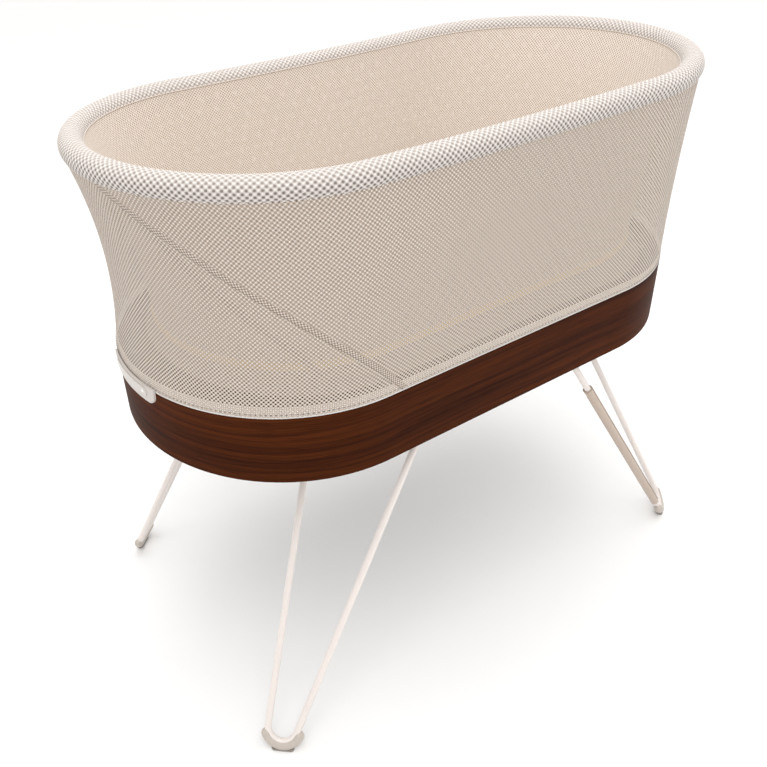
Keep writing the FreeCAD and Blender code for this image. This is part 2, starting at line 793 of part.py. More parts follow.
def make_channel():
    """Snap-on channel along the front rod of the front right leg."""
    side = -1
    knee = knee_point(1, -1, side)
    tangent = tangent_point(1, -1, side)
    axis = (tangent - knee).normalize()
    start = knee + axis * ((channel_top - knee.z) / axis.z)
    length = (channel_bottom - channel_top) / axis.z
    inner = rod_diameter / 2 + channel_fit
    body = rod(start, axis, inner + channel_wall, length).cut(rod(start - axis, axis, inner, length + 2))
    outward = (V(1, -1, 0) - axis * V(1, -1, 0).dot(axis)).normalize()
    across = axis.cross(outward)
    slot = Part.makePolygon([start - axis + across * (i * channel_slot / 2) + outward * j
                             for i, j in ((-1, 0), (1, 0), (1, 20), (-1, 20), (-1, 0))])
    return body.cut(Part.Face(slot).extrude(axis * (length + 2)))


def make_socket(sx, sy):
    """Cast block on the pan floor with the two bores of one leg."""
    if sx > 0:
        return make_socket(-sx, sy).mirror(V(0, 0, 0), V(1, 0, 0))
    along, across, upright, centre, top = leg_frame(sx, sy)
    below = 6.0               # slanted tubes start under the floor and are trimmed off
    tubes, bores, pads = [], [], []
    for side in (-1, 1):
        p = top + across * (side * rod_half_gap)
        base = p + along * ((floor_top - below - p.z) / along.z)
        tubes.append(rod(base, along, spigot_bore + socket_wall, (spigot_above_floor + 2 * below) / along.z))
        bores.append(rod(base, along, spigot_bore, (spigot_above_floor + below + seat_gap) / along.z))
        on_floor = p + along * ((floor_top + socket_plate / 2 - p.z) / along.z)
        pads.append(hole(on_floor, socket_pad_radius, floor_top, floor_top + socket_plate))
    mid = top + along * ((floor_top - top.z) / along.z)
    wide = 2 * (socket_screw_out + socket_plate)
    web = Part.makeBox(2 * rod_half_gap, socket_web, socket_web_height, V(-rod_half_gap, -socket_web / 2, 0))
    web = web.fuse(Part.makeBox(2 * rod_half_gap, wide, socket_plate, V(-rod_half_gap, -wide / 2, 0)))
    web.rotate(V(0, 0, 0), V(0, 0, 1), math.degrees(math.atan2(across.y, across.x)))
    web.translate(V(mid.x, mid.y, floor_top))
    body = fuse_all(tubes + pads + [web])
    for cutter in bores:
        body = body.cut(cutter)
    for p in socket_screw_points(sx, sy):
        body = body.cut(hole(p, screw_radius, floor_top - cut, floor_top + socket_plate + cut))
    return body.common(band_slab(pan_inset, floor_top, deck_base)).removeSplitter()


def socket_screw_points(sx, sy):
    along, across, upright, centre, top = leg_frame(sx, sy)
    mid = top + along * ((floor_top - top.z) / along.z)
    out = V(-across.y, across.x, 0)
    return [mid + across * (i * socket_screw_along) + out * (j * socket_screw_out)
            for i in (-1, 1) for j in (-1, 1)]


# ---- end control --------------------------------------------------------------------------
end_x = -(band_straight + band_end)
end_reach = 40.0          # cutters run this far outside and inside the end


def end_strip(out_from, out_to, z0, z1, half):
    """Part of the ring round the left end between two offsets from the band's face."""
    ring = band_slab(-out_to, z0, z1).cut(band_slab(-out_from, z0 - cut, z1 + cut))
    return ring.common(Part.makeBox(band_end, 2 * half, z1 - z0, V(end_x - end_reach, -half, z0)))


def stadium_along_x(half_width, half_height, z_middle):
    """Prism along X with a stadium section, for shaping the end tab."""
    reach = half_width - half_height
    x = end_x - end_reach
    bar = Part.makeBox(2 * end_reach, 2 * reach, 2 * half_height, V(x, -reach, z_middle - half_height))
    for y in (-reach, reach):
        bar = bar.fuse(rod(V(x, y, z_middle), V(1, 0, 0), half_height, 2 * end_reach))
    return bar.removeSplitter()


def lamp_prism(radius):
    return rod(V(end_x - end_reach, lamp_y, button_z), V(1, 0, 0), radius, 2 * end_reach)


tab_low = band_top - tab_drop
tab_high = band_top + tab_rise
button_z = band_top - tab_drop / 4
button_low = button_z - button_half_height
button_high = button_z + button_half_height
button_back = switch_thickness + switch_gap + button_travel
button_outline = stadium_along_x(button_half_width, button_half_height, button_z)


def make_tab():
    body = end_strip(0.0, tab_thickness, tab_low, tab_high, tab_half_width)
    rounded = tab_low + tab_corner
    outline = stadium_along_x(tab_half_width, tab_corner, rounded)
    square = Part.makeBox(2 * end_reach, 2 * tab_half_width, tab_rise + tab_drop,
                          V(end_x - end_reach, -tab_half_width, rounded))
    window = stadium_along_x(button_half_width + button_gap, button_half_height + button_gap, button_z)
    return body.common(outline.fuse(square)).cut(window)


def make_switch():
    """Membrane switch behind the button."""
    return end_strip(0.0, switch_thickness, button_low, button_high, button_half_width).common(button_outline)


def make_button():
    face = tab_thickness + button_proud
    body = end_strip(button_back, face, button_low, button_high, button_half_width)
    return body.common(button_outline).cut(lamp_prism(lamp_radius + lamp_gap))


def make_lamp():
    face = tab_thickness + lamp_proud
    body = end_strip(button_back, face, button_low, button_high, button_half_width)
    return body.common(lamp_prism(lamp_radius))


# ---- electrics ----------------------------------------------------------------------------
# blocks on the board: distance along it, middle across it, length, width, height
BLOCKS = [(50, 0, 14, 14, 1.6), (24, 15, 10, 6, 1.8), (80, 18, 8, 8, 1.4), (46, 30, 22, 8, 9.0),
          (78, -26, 18, 8, 9.0)]
capacitor_radius = 4.0
capacitor_height = 12.0
speaker_depth = 33.0
speaker_magnet_radius = 21.0
inlet_length = 20.0
jack_radius = 2.9


def board_posts():
    xs = (board_left + board_post_inset, board_left + board_length - board_post_inset)
    y = board_width / 2 - board_post_inset
    return [V(x, side * y, 0) for x in xs for side in (-1, 1)]


def make_board():
    body = Part.makeBox(board_length, board_width, board_plate, V(board_left, -board_width / 2, board_z))
    for p in board_posts():
        body = body.cut(hole(p, screw_clear_radius, board_z - cut, board_z + board_plate + cut))
    return body


def make_standoffs():
    posts = []
    for p in board_posts():
        post = hole(p, board_post_radius, floor_top, board_z)
        posts.append(post.cut(hole(p, screw_radius, floor_top + pan_floor, board_z + cut)))
    return Part.makeCompound(posts)


def make_chips():
    z = board_z + board_plate
    made = [Part.makeBox(length, width, height, V(board_left + along, middle - width / 2, z))
            for along, middle, length, width, height in BLOCKS]
    pitch = 2.75 * capacitor_radius
    made += [Part.makeCylinder(capacitor_radius, capacitor_height, V(board_left + 22 + i * pitch, -22, z))
             for i in range(3)]
    return Part.makeCompound(made)


def make_speaker_frame():
    low = floor_top
    plate = 3.0
    cone = speaker_depth - 2 * speaker_magnet_radius / 3 - plate
    inner = speaker_radius - 5.0
    magnet = speaker_magnet_radius
    cone_at = V(speaker_x, 0, low + plate)
    body = Part.makeCylinder(speaker_radius, plate, V(speaker_x, 0, low))
    body = body.fuse(Part.makeCone(speaker_radius - plate, magnet, cone, cone_at))
    magnet_low = low + plate + cone
    body = body.fuse(Part.makeCylinder(magnet, low + speaker_depth - magnet_low, V(speaker_x, 0, magnet_low)))
    hollow = Part.makeCylinder(inner, plate + cut, V(speaker_x, 0, low - cut))
    hollow = hollow.fuse(Part.makeCone(inner, magnet - plate, cone - cut, cone_at))
    return body.cut(hollow).removeSplitter()


def make_speaker_cone():
    low = floor_top + seat_gap
    mouth = speaker_radius - 5.6
    neck = 13.5
    outer = Part.makeCone(mouth, neck, 13.0, V(speaker_x, 0, low))
    inner = Part.makeCone(mouth - 1.2, neck - 1.2, 12.2, V(speaker_x, 0, low))
    return outer.cut(inner)


def make_inlet():
    low = pan_base - cover_plate
    body = hole(inlet_at, inlet_radius - spigot_gap, low, low + inlet_length)
    body = body.fuse(hole(inlet_at, inlet_radius + 4.0, floor_top, floor_top + 2.5))
    jack = hole(inlet_at, jack_radius, low, low + 12.0)
    return body.cut(jack.cut(hole(inlet_at, 1.0, low + 3.0, low + 12.0))).removeSplitter()


def make_glides():
    """Low-friction pads on the deck that keep the platform level."""
    pads = []
    for sx in (-1, 1):
        for sy in (-1, 1):
            at = V(sx * glide_x, sy * glide_y, 0)
            pads.append(hole(at, glide_radius, deck_top, platform_base - glide_gap))
    return Part.makeCompound(pads)


# ---- write every node ---------------------------------------------------------------------
save("wood_band", make_band())
save("base_pan", make_pan())
save("under_cover", make_cover())
save("base_deck", make_deck())
save("bottom_piping", make_piping())
for corner, (cx, cy) in CORNERS.items():
    save("leg_socket_" + corner, make_socket(cx, cy))
    leg = make_leg(cx, cy)
    save("leg_" + corner, leg)
    save("foot_shoe_" + corner, make_shoe(cx, cy).cut(leg))
    save("foot_sole_" + corner, make_sole(cx, cy))
save("cable_channel", make_channel())
save("rim_hoop", make_hoop())
save("rim_foam", make_foam())
save("rim_sleeve", make_sleeve())
save("outer_mesh", make_outer_mesh())
save("inner_lining", make_lining())
save("rim_strut_front", make_strut(0))
save("rim_strut_back", make_strut(180))
save("platform", make_platform())
save("mattress", make_mattress())
save("pivot_shaft", make_shaft())
save("pivot_circlip", make_circlip())
save("pivot_hub", make_hub())
save("bush_upper", make_bush(True))
save("bush_lower", make_bush(False))
save("sector_gear", make_sector())
save("drive_pinion", make_pinion())
save("motor_plate", make_motor_plate())
save("motor", make_motor())
save("motor_shaft", make_motor_shaft())
save("control_board", make_board())
save("board_standoffs", make_standoffs())
save("board_parts", make_chips())
save("speaker_frame", make_speaker_frame())
save("speaker_cone", make_speaker_cone())
save("power_inlet", make_inlet())
save("glide_pads", make_glides())
save("control_tab", make_tab())
save("power_button", make_button())
save("status_lamp", make_lamp())
save("switch_pad", make_switch())
socket_points = [p for cx, cy in CORNERS.values() for p in socket_screw_points(cx, cy)]
save("cover_screws", screws(cover_points, pan_base - cover_plate, False, cover_plate + pan_floor))
save("deck_screws", screws(deck_points, deck_top, True, deck_plate + deck_pilot / 2))
save("socket_screws", screws(socket_points, floor_top + socket_plate, True,
                             socket_plate + pan_floor - glide_gap))
save("drive_screws", screws(hub_screws + motor_screws, deck_top, True, deck_plate + motor_bracket))
save("platform_screws", screws(flange_screws + sector_screws, gear_low, False,
                               gear_width + platform_skin - glide_gap))
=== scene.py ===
import math

import bmesh
import bpy
import numpy as np
from bpy.props import FloatProperty, FloatVectorProperty, PointerProperty
from mathutils import Matrix, Vector


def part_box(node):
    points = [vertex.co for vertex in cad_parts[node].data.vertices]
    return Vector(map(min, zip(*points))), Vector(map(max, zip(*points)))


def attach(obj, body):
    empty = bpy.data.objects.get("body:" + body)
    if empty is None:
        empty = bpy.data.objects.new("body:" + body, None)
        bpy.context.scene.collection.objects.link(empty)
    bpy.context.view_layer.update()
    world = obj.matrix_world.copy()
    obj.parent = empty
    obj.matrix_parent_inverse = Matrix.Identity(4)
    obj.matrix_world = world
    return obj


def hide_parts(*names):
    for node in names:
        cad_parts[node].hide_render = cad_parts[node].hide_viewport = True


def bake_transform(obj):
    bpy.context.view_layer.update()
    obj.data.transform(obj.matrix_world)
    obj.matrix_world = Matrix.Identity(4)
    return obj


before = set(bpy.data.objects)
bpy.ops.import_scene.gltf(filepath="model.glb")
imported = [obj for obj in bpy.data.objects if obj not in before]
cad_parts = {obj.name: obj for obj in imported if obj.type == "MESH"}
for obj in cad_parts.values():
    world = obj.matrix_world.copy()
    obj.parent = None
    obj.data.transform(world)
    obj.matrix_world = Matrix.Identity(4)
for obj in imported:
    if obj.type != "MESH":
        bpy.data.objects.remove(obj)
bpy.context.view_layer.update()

bl_info = {
    "name": "Mesh Bassinet",
    "version": (1, 0, 0),
    "blender": (4, 5, 0),
    "location": "3D View > Sidebar > Bassinet",
    "description": "Knitted walls, padded rim, mattress and finishes for a bassinet on a stand",
    "category": "Add Mesh",
}

CORNERS = ("front_left", "front_right", "back_left", "back_right")
BAND_HIGH = Vector(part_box("wood_band")[1])
RIM_LOW, RIM_HIGH = (Vector(p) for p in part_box("rim_sleeve"))
PLATFORM_HIGH = Vector(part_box("platform")[1])
MATTRESS_LOW, MATTRESS_HIGH = (Vector(p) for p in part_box("mattress"))


# ---- sizes and colours ----
def length(name, default, description):
    return FloatProperty(name=name, default=default, description=description, unit="LENGTH", precision=4)


def colour(name, default, description):
    return FloatVectorProperty(name=name, default=default, description=description, subtype="COLOR",
                               size=3, min=0, max=1)


class BassinetSizes(bpy.types.PropertyGroup):
    band_straight: length("Band straight", 0.2036, "Half length of the band's straight side")
    rim_straight: length("Rim straight", 0.213, "Half length of the rim's straight side")
    platform_straight: length("Platform straight", 0.174, "Half length of the platform's straight side")
    roll_radius: length("Roll radius", 0.015, "Outside radius of the padded rim")
    rim_lift: length("Rim lift", 0.0082, "How much higher the rim stands at its ends than at its sides")
    waist: length("Waist", 0.017, "How far the outer wall draws in at the ends")
    lining_waist: length("Lining waist", 0.009, "How far the lining draws in at the ends")
    side_bulge: length("Side bulge", 0.0025, "How far the outer wall stands out along the sides")
    knit_across: length("Knit across", 0.0054, "Outer knit's repeat round the wall")
    knit_up: length("Knit up", 0.0052, "Outer knit's repeat up the wall")
    rim_knit_across: length("Rim knit across", 0.0073, "Rim knit's repeat along the rim")
    rim_knit_up: length("Rim knit up", 0.0070, "Rim knit's repeat round the roll")
    lining_knit: length("Lining knit", 0.0043, "Lining knit's repeat")
    knob: length("Knob height", 0.00038, "Height of the knit's knobs on the rim")
    piping: length("Piping height", 0.0024, "Height of the piping on the band")
    stitch_pitch: length("Stitch pitch", 0.0060, "Distance from stitch to stitch")
    mattress_rise: length("Mattress swell", 0.005, "How far the mattress cover may swell")


class BassinetColours(bpy.types.PropertyGroup):
    # Painted shade: the outer knit's yarn is a darker copy of the rim's, standing in for the shade on the
    # upright wall under a top light.
    yarn: colour("Yarn", (0.60, 0.51, 0.435), "Outer knit's knobs")
    # Painted shade between the outer knit's knobs.
    yarn_gap_shade: colour("Yarn gap", (0.29, 0.228, 0.18), "Outer knit between its knobs")
    # The rim's yarn is the lit copy of the same knit.
    rim_yarn: colour("Rim yarn", (0.70, 0.65, 0.615), "Knit on the rim")
    # Painted shade between the rim knit's knobs: darker on the roll's outer and under side, lighter on
    # its top where more light falls.
    rim_gap_under_shade: colour("Rim gap", (0.165, 0.135, 0.118), "Rim's knit between its knobs on the outside")
    rim_gap_top_shade: colour("Rim gap top", (0.44, 0.39, 0.355), "Rim's knit between its knobs on top")
    # Painted highlight on the tops of the knit's knobs; also the white of the piping and of the backing
    # tape.
    highlight_white: colour("Yarn top", (0.86, 0.83, 0.80), "Tops of the outer knit's knobs")
    lining: colour("Lining", (0.68, 0.60, 0.53), "Inner knit")
    # Painted shade between the lining knit's knobs.
    lining_gap_shade: colour("Lining gap", (0.42, 0.345, 0.28), "Inner knit between its knobs")
    hem: colour("Hem", (0.74, 0.55, 0.26), "Tape at the lining's foot")
    walnut_dark: colour("Walnut dark", (0.021, 0.0040, 0.0006), "Dark streaks of the wood")
    walnut_light: colour("Walnut light", (0.090, 0.021, 0.0036), "Light streaks of the wood")
    coat: colour("Powder coat", (0.80, 0.735, 0.70), "Legs")
    # Painted shade and reflection: the channel's darker tan stands in for its lying in shade and
    # reflecting warm surroundings.
    channel: colour("Channel", (0.50, 0.405, 0.335), "Cable channel")
    tab: colour("Tab", (0.56, 0.52, 0.485), "Control tab and platform")
    shoe: colour("Shoe", (0.52, 0.465, 0.415), "Foot shoes")


# ---- shader and geometry node helpers ----
MIX_A, MIX_B, MIX_RESULT = 6, 7, 2         # a Mix node's sockets for colours


class Wire:
    """A node socket that takes part in expressions."""

    def __init__(self, net, socket):
        self.net = net
        self.socket = socket

    def math(self, operation, *others):
        return self.net.make("ShaderNodeMath", {"operation": operation},
                             dict(enumerate((self,) + others)))

    def __add__(self, other):
        return self.math("ADD", other)

    def __mul__(self, other):
        return self.math("MULTIPLY", other)

    def __sub__(self, other):
        return self.math("SUBTRACT", other)

    def __rsub__(self, other):
        return self.net.make("ShaderNodeMath", {"operation": "SUBTRACT"}, {0: other, 1: self})

    __radd__ = __add__
    __rmul__ = __mul__

    def wave(self, pitch):
        """Cosine with this pitch."""
        return (self * (2 * math.pi / pitch)).math("COSINE")

    def ramp(self, low, high):
        """0 at low to 1 at high, with soft ends."""
        return self.net.make("ShaderNodeMapRange", {"interpolation_type": "SMOOTHSTEP"},
                             {"Value": self, "From Min": low, "From Max": high})


class Net:
    """Builds one node tree; add() returns the new node and make() one of its outputs."""

    def __init__(self, tree):
        self.tree = tree

    def add(self, kind, settings=None, inputs=None):
        node = self.tree.nodes.new(kind)
        for key, value in (settings or {}).items():
            setattr(node, key, value)
        for key, value in (inputs or {}).items():
            if isinstance(value, Wire):
                self.tree.links.new(value.socket, node.inputs[key])
            else:
                node.inputs[key].default_value = value
        return node

    def make(self, kind, settings=None, inputs=None, output=0):
        return Wire(self, self.add(kind, settings, inputs).outputs[output])


class Finish(Net):
    """A material with a Principled shader."""

    def __init__(self, name):
        self.material = bpy.data.materials.new(name)
        self.material.use_nodes = True
        super().__init__(self.material.node_tree)
        self.tree.nodes.clear()
        self.shader = self.add("ShaderNodeBsdfPrincipled")
        output = self.add("ShaderNodeOutputMaterial")
        self.tree.links.new(self.shader.outputs[0], output.inputs["Surface"])

    def set(self, **values):
        """Sets the shader's sockets; a name's underscores stand for spaces."""
        for key, value in values.items():
            socket = self.shader.inputs[key.replace("_", " ")]
            if isinstance(value, Wire):
                self.tree.links.new(value.socket, socket)
            else:
                socket.default_value = value
        return self.material

    def place(self):
        """Object coordinates as three wires."""
        node = self.add("ShaderNodeSeparateXYZ", None,
                        {0: self.make("ShaderNodeTexCoord", output="Object")})
        return [Wire(self, node.outputs[i]) for i in range(3)]

    def laid(self):
        """The cloth's own map: metres round and metres up."""
        node = self.add("ShaderNodeSeparateXYZ", None,
                        {0: self.make("ShaderNodeUVMap", {"uv_map": "Cloth"})})
        return [Wire(self, node.outputs[i]) for i in range(2)]

    def vector(self, x, y, z):
        return self.make("ShaderNodeCombineXYZ", None, {0: x, 1: y, 2: z})

    def noise(self, at, scale=1.0, detail=2.0, roughness=0.5):
        return self.make("ShaderNodeTexNoise", None,
                         {"Vector": at, "Scale": scale, "Detail": detail, "Roughness": roughness})

    def blend(self, share, a, b):
        """Colour a at share 0 to colour b at share 1."""
        def full(value):
            return value if isinstance(value, Wire) else (*value, 1.0)
        return self.make("ShaderNodeMix", {"data_type": "RGBA"},
                         {0: share, MIX_A: full(a), MIX_B: full(b)}, output=MIX_RESULT)

    def bump(self, height, distance, strength=1.0):
        return self.make("ShaderNodeBump", None,
                         {"Height": height, "Distance": distance, "Strength": strength})


def tinted(rgb, share):
    """The colour made lighter or darker by share."""
    return tuple(min(1.0, c * share) for c in rgb)


# ---- finishes ----
def walnut(name):
    """Lacquered walnut veneer with its grain along the band."""
    c = bpy.context.scene.bassinet_colours
    f = Finish(name)
    x, y, z = f.place()
    drift = f.noise(f.vector(x * 1.6, y * 1.6, z * 6.0), 1.0, 2.0)
    level = z + (drift - 0.5) * 0.035
    broad = f.noise(f.vector(x * 1.2, y * 1.2, level * 46.0), 1.0, 3.0)
    streak = f.noise(f.vector(x * 3.0, y * 3.0, level * 210.0), 1.0, 4.0, 0.6)
    fibre = f.noise(f.vector(x * 16.0, y * 16.0, z * 1300.0), 1.0, 2.0)
    tone = broad * 0.40 + streak * 0.42 + fibre * 0.25
    wood = f.blend(tone.ramp(0.36, 0.74), c.walnut_dark, c.walnut_light)
    pores = f.noise(f.vector(x * 30.0, y * 30.0, z * 1900.0), 1.0, 0.0).ramp(0.60, 0.72)
    wood = f.blend(pores * 0.45, wood, tinted(c.walnut_dark, 0.45))
    return f.set(Base_Color=wood, Roughness=0.52 + streak * 0.10, Specular_IOR_Level=0.04,
                 Normal=f.bump(fibre + pores * -0.6, 0.00006, 0.5))


def moulded(name, rgb, roughness=0.5, grain=0.00002, scale=1600.0):
    """Injection-moulded plastic with a fine spark texture and slight tone drift."""
    f = Finish(name)
    at = f.vector(*f.place())
    fine = f.noise(at, scale, 1.0)
    tone = f.noise(at, 14.0, 2.0)
    base = f.blend(tone, tinted(rgb, 0.95), tinted(rgb, 1.04))
    return f.set(Base_Color=base, Roughness=roughness + (fine - 0.5) * 0.12,
                 Normal=f.bump(fine, grain, 0.6))


def powder_coat(name, rgb):
    """Baked powder coat with a faint orange peel."""
    f = Finish(name)
    at = f.vector(*f.place())
    peel = f.noise(at, 900.0, 2.0)
    tone = f.noise(at, 9.0, 2.0)
    base = f.blend(tone, tinted(rgb, 0.96), tinted(rgb, 1.03))
    return f.set(Base_Color=base, Roughness=0.36 + (peel - 0.5) * 0.08, Coat_Weight=0.15,
                 Coat_Roughness=0.25, Normal=f.bump(peel, 0.00003, 0.35))


def metal(name, rgb, roughness=0.34, scale=(900.0, 900.0, 60.0)):
    """Bare machined metal with fine tool marks."""
    f = Finish(name)
    x, y, z = f.place()
    marks = f.noise(f.vector(x * scale[0], y * scale[1], z * scale[2]), 1.0, 2.0)
    base = f.blend(marks, tinted(rgb, 0.9), tinted(rgb, 1.05))
    return f.set(Base_Color=base, Metallic=1.0, Roughness=roughness + (marks - 0.5) * 0.14,
                 Normal=f.bump(marks, 0.00001, 0.4))


def rubber(name):
    """Soft rubber with a little dust in it."""
    f = Finish(name)
    at = f.vector(*f.place())
    dust = f.noise(at, 260.0, 3.0)
    base = f.blend(dust, (0.26, 0.235, 0.21), (0.34, 0.31, 0.28))
    return f.set(Base_Color=base, Roughness=0.82 + (dust - 0.5) * 0.1,
                 Normal=f.bump(dust, 0.00004, 0.5))


# Painted shade: at TURN_OVER the rim's gaps change from the darker under-side shade to the lighter top
# shade.
TURN_OVER = (0.012, 0.034)                 # where up its map the rim's cover turns over its top
TIGHTENING = (0.030, 0.075)                # where up its map an open knit draws tighter
TIGHTER = 0.13                             # and by how much its holes' level falls
HOLE_EDGE = (-0.10, 0.06)                  # softness of a hole's edge below and above its level


def knit(name, yarn, gap, top, across, up, hole, depth, glow=0.0, top_gap_shade=None):
    """Warp-knit mesh: staggered knobs with gaps between them.

    across and up are the knit's repeats. gap is painted shade between the knobs and top a painted
    highlight on their tops. hole is the level below which the gaps are open, and 0 leaves them closed.
    depth is the knobs'
    height. glow is painted light: an emission that stands in for the light that comes through from the
    cloth's other side. top_gap_shade is the gaps' painted shade past TURN_OVER, on the top where more
    light falls.
    """
    f = Finish(name)
    u, v = f.laid()
    fuzz = f.noise(f.vector(u, v, 0.0), 700.0, 2.0)
    lattice = u.wave(across) * v.wave(up)
    body = lattice + (fuzz - 0.5) * 0.35
    tone = f.noise(f.vector(u, v, 0.0), 6.0, 2.0)
    # Painted shade: past TURN_OVER the gaps take the top's lighter shade instead of the under side's
    # darker one.
    if top_gap_shade:
        gap = f.blend(v.ramp(*TURN_OVER), gap, top_gap_shade)
    # Painted shade in the gaps between the knobs.
    base = f.blend(body.ramp(-0.85, 0.35), gap, yarn)
    # Painted highlight on the knobs' tops.
    base = f.blend(body.ramp(0.40, 0.95) * 0.85, base, top)
    base = f.blend(tone.ramp(0.3, 0.7) * 0.10, base, tinted(yarn, 0.86))
    values = dict(Base_Color=base, Roughness=0.86, Specular_IOR_Level=0.25, Sheen_Weight=0.12,
                  Normal=f.bump(body, depth, 0.9))
    # Painted light: the emission brightens the cloth as if lit through from its other side.
    if glow:
        values.update(Emission_Color=base, Emission_Strength=glow)
    if hole:
        tighter = v.ramp(*TIGHTENING) * TIGHTER
        values["Alpha"] = (body + tighter).ramp(hole + HOLE_EDGE[0], hole + HOLE_EDGE[1])
    return f.set(**values)


RIB_PITCH = 0.0011
WEAVE_PITCH = 0.0016


def tape(name, rgb, glow=0.0):
    """Woven tape or piping with a fine rib; glow is painted light, an emission that stands in for the
    light that comes through it.
    """
    f = Finish(name)
    u, v = f.laid()
    rib = u.wave(RIB_PITCH) * 0.5 + v.wave(RIB_PITCH * 0.8) * 0.3
    base = f.blend(rib.ramp(-0.8, 0.8), tinted(rgb, 0.84), rgb)
    # Painted light: the emission brightens the tape as if lit through.
    return f.set(Base_Color=base, Roughness=0.85, Sheen_Weight=0.1, Normal=f.bump(rib, 0.00012, 0.7),
                 Emission_Color=base, Emission_Strength=glow)


def cotton(name, rgb):
    """Plain woven cotton cover."""
    f = Finish(name)
    x, y, z = f.place()
    weave = x.wave(WEAVE_PITCH) * y.wave(WEAVE_PITCH)
    drift = f.noise(f.vector(x, y, z), 22.0, 3.0)
    base = f.blend(weave.ramp(-1.0, 1.0), tinted(rgb, 0.9), rgb)
    base = f.blend(drift * 0.12, base, tinted(rgb, 0.85))
    return f.set(Base_Color=base, Roughness=0.9, Sheen_Weight=0.15,
                 Normal=f.bump(weave * 0.4 + drift, 0.0006, 0.35))


def circuit(name):
    """Solder mask with faint copper tracks."""
    f = Finish(name)
    x, y = f.place()[:2]
    tracks = (x.wave(0.0052) + y.wave(0.0046)).ramp(1.2, 1.5)
    base = f.blend(tracks, (0.012, 0.085, 0.040), (0.03, 0.16, 0.07))
    return f.set(Base_Color=base, Roughness=0.38, Coat_Weight=0.3,
                 Normal=f.bump(tracks, 0.00004, 0.5))


def lamp_lens(name):
    """Milky lens of the status lamp."""
    f = Finish(name)
    at = f.vector(*f.place())
    cloud = f.noise(at, 500.0, 2.0)
    base = f.blend(cloud, (0.86, 0.86, 0.83), (0.97, 0.97, 0.95))
    return f.set(Base_Color=base, Roughness=0.12 + cloud * 0.06, Coat_Weight=0.5)


# ---- mesh helpers ----
def link(obj):
    bpy.context.scene.collection.objects.link(obj)
    return obj


def grid_piece(name, grid, cloth, wrap, material, flip=False):
    """Smooth quad mesh from rows x columns of points.

    cloth is its map in metres, with one more column than the grid if it wraps.
    """
    rows, cols = grid.shape[:2]
    spans = cols if wrap else cols - 1
    r, c = np.meshgrid(np.arange(rows - 1), np.arange(spans), indexing="ij")
    right = (c + 1) % cols
    corners = [(r, c, c), (r, right, c + 1), (r + 1, right, c + 1), (r + 1, c, c)]
    if flip:
        corners.reverse()
    faces = np.stack([a * cols + b for a, b, k in corners], -1).reshape(-1, 4)
    mesh = bpy.data.meshes.new(name)
    mesh.from_pydata(grid.reshape(-1, 3).tolist(), [], faces.tolist())
    layer = mesh.uv_layers.new(name="Cloth")
    uv = np.stack([cloth[a, k] for a, b, k in corners], -2).reshape(-1, 2)
    layer.data.foreach_set("uv", uv.astype(np.float32).ravel())
    mesh.polygons.foreach_set("use_smooth", np.ones(len(faces), bool))
    mesh.materials.append(material)
    return link(bpy.data.objects.new(name, mesh))


END_POINTS = 600                           # points that each end of an oval is worked out from


def oval_ring(straight, end, half, shares):
    """Points round an oval by share of its length, and that length.

    It starts at the front's middle and goes round the right-hand end first.
    """
    turn = np.linspace(-np.pi / 2, np.pi / 2, END_POINTS)
    right = np.stack([straight + end * np.cos(turn), half * np.sin(turn)], 1)
    line = np.vstack([[0.0, -half], right, -right, [0.0, -half]])
    run = np.concatenate([[0.0], np.cumsum(np.hypot(*np.diff(line, axis=0).T))])
    at = (shares % 1.0) * run[-1]
    return np.stack([np.interp(at, run, line[:, 0]), np.interp(at, run, line[:, 1])], 1), run[-1]


def rim_height(x):
    """Height of the rim roll's centre line over the point x."""
    s = bpy.context.scene.bassinet_sizes
    middle = RIM_HIGH.z - s.rim_lift / 2 - s.roll_radius
    return middle + s.rim_lift * (x / (RIM_HIGH.x - s.roll_radius)) ** 2


def rim_oval(out):
    """Straight, end and half width of the rim's centre line moved outwards by out."""
    s = bpy.context.scene.bassinet_sizes
    half = RIM_HIGH.y - s.roll_radius
    end = RIM_HIGH.x - s.roll_radius - s.rim_straight
    return s.rim_straight, end + out, half + out


OUTER_TUCK = (0.0113, 0.0086)              # how far outside and below the roll's middle the wall ends
LINING_TUCK = (-0.0146, -0.0012)           # the same for the lining: inside, and a little above


def wall_table(low, tuck, waist, bulge, shares, levels):
    """Points of a wall between an oval (straight, end, half, height) and the rim, by share and level."""
    high = rim_oval(tuck[0])
    rows = []
    for t in levels:
        straight, end, half = (a + (b - a) * t for a, b in zip(low[:3], high))
        hollow = 4 * t * (1 - t)
        ring = oval_ring(straight, end - waist * hollow, half + bulge * hollow, shares)[0]
        top = rim_height(ring[:, 0]) - tuck[1]
        rows.append(np.column_stack([ring, low[3] + (top - low[3]) * t]))
    return np.array(rows)


def looked_up(table, shares, levels):
    """Bilinear look-up in a wall table whose shares wrap and whose levels run from 0 to 1."""
    rows, cols = table.shape[:2]
    a = (shares % 1.0) * cols
    b = np.clip(levels, 0, 1) * (rows - 1)
    i, j = np.floor(a).astype(int), np.minimum(np.floor(b).astype(int), rows - 2)
    p, q = (a - i)[..., None], (b - j)[..., None]
    i0, i1 = i % cols, (i + 1) % cols
    low = table[j, i0] * (1 - p) + table[j, i1] * p
    high = table[j + 1, i0] * (1 - p) + table[j + 1, i1] * p
    return low * (1 - q) + high * q


def swept(path, section, height, steps):
    """Rows of points for a section of (out, up) pairs carried round an oval, and the oval's length.

    height gives the section's level from x.
    """
    ring, run = oval_ring(*path, np.arange(steps) / steps)
    along = np.roll(ring, -1, 0) - np.roll(ring, 1, 0)
    outward = np.column_stack([along[:, 1], -along[:, 0]]) / np.linalg.norm(along, axis=1)[:, None]
    level = height(ring[:, 0])
    rows = [np.column_stack([ring + outward * np.reshape(out, (-1, 1)), level + up])
            for out, up in section]
    return np.array(rows), run


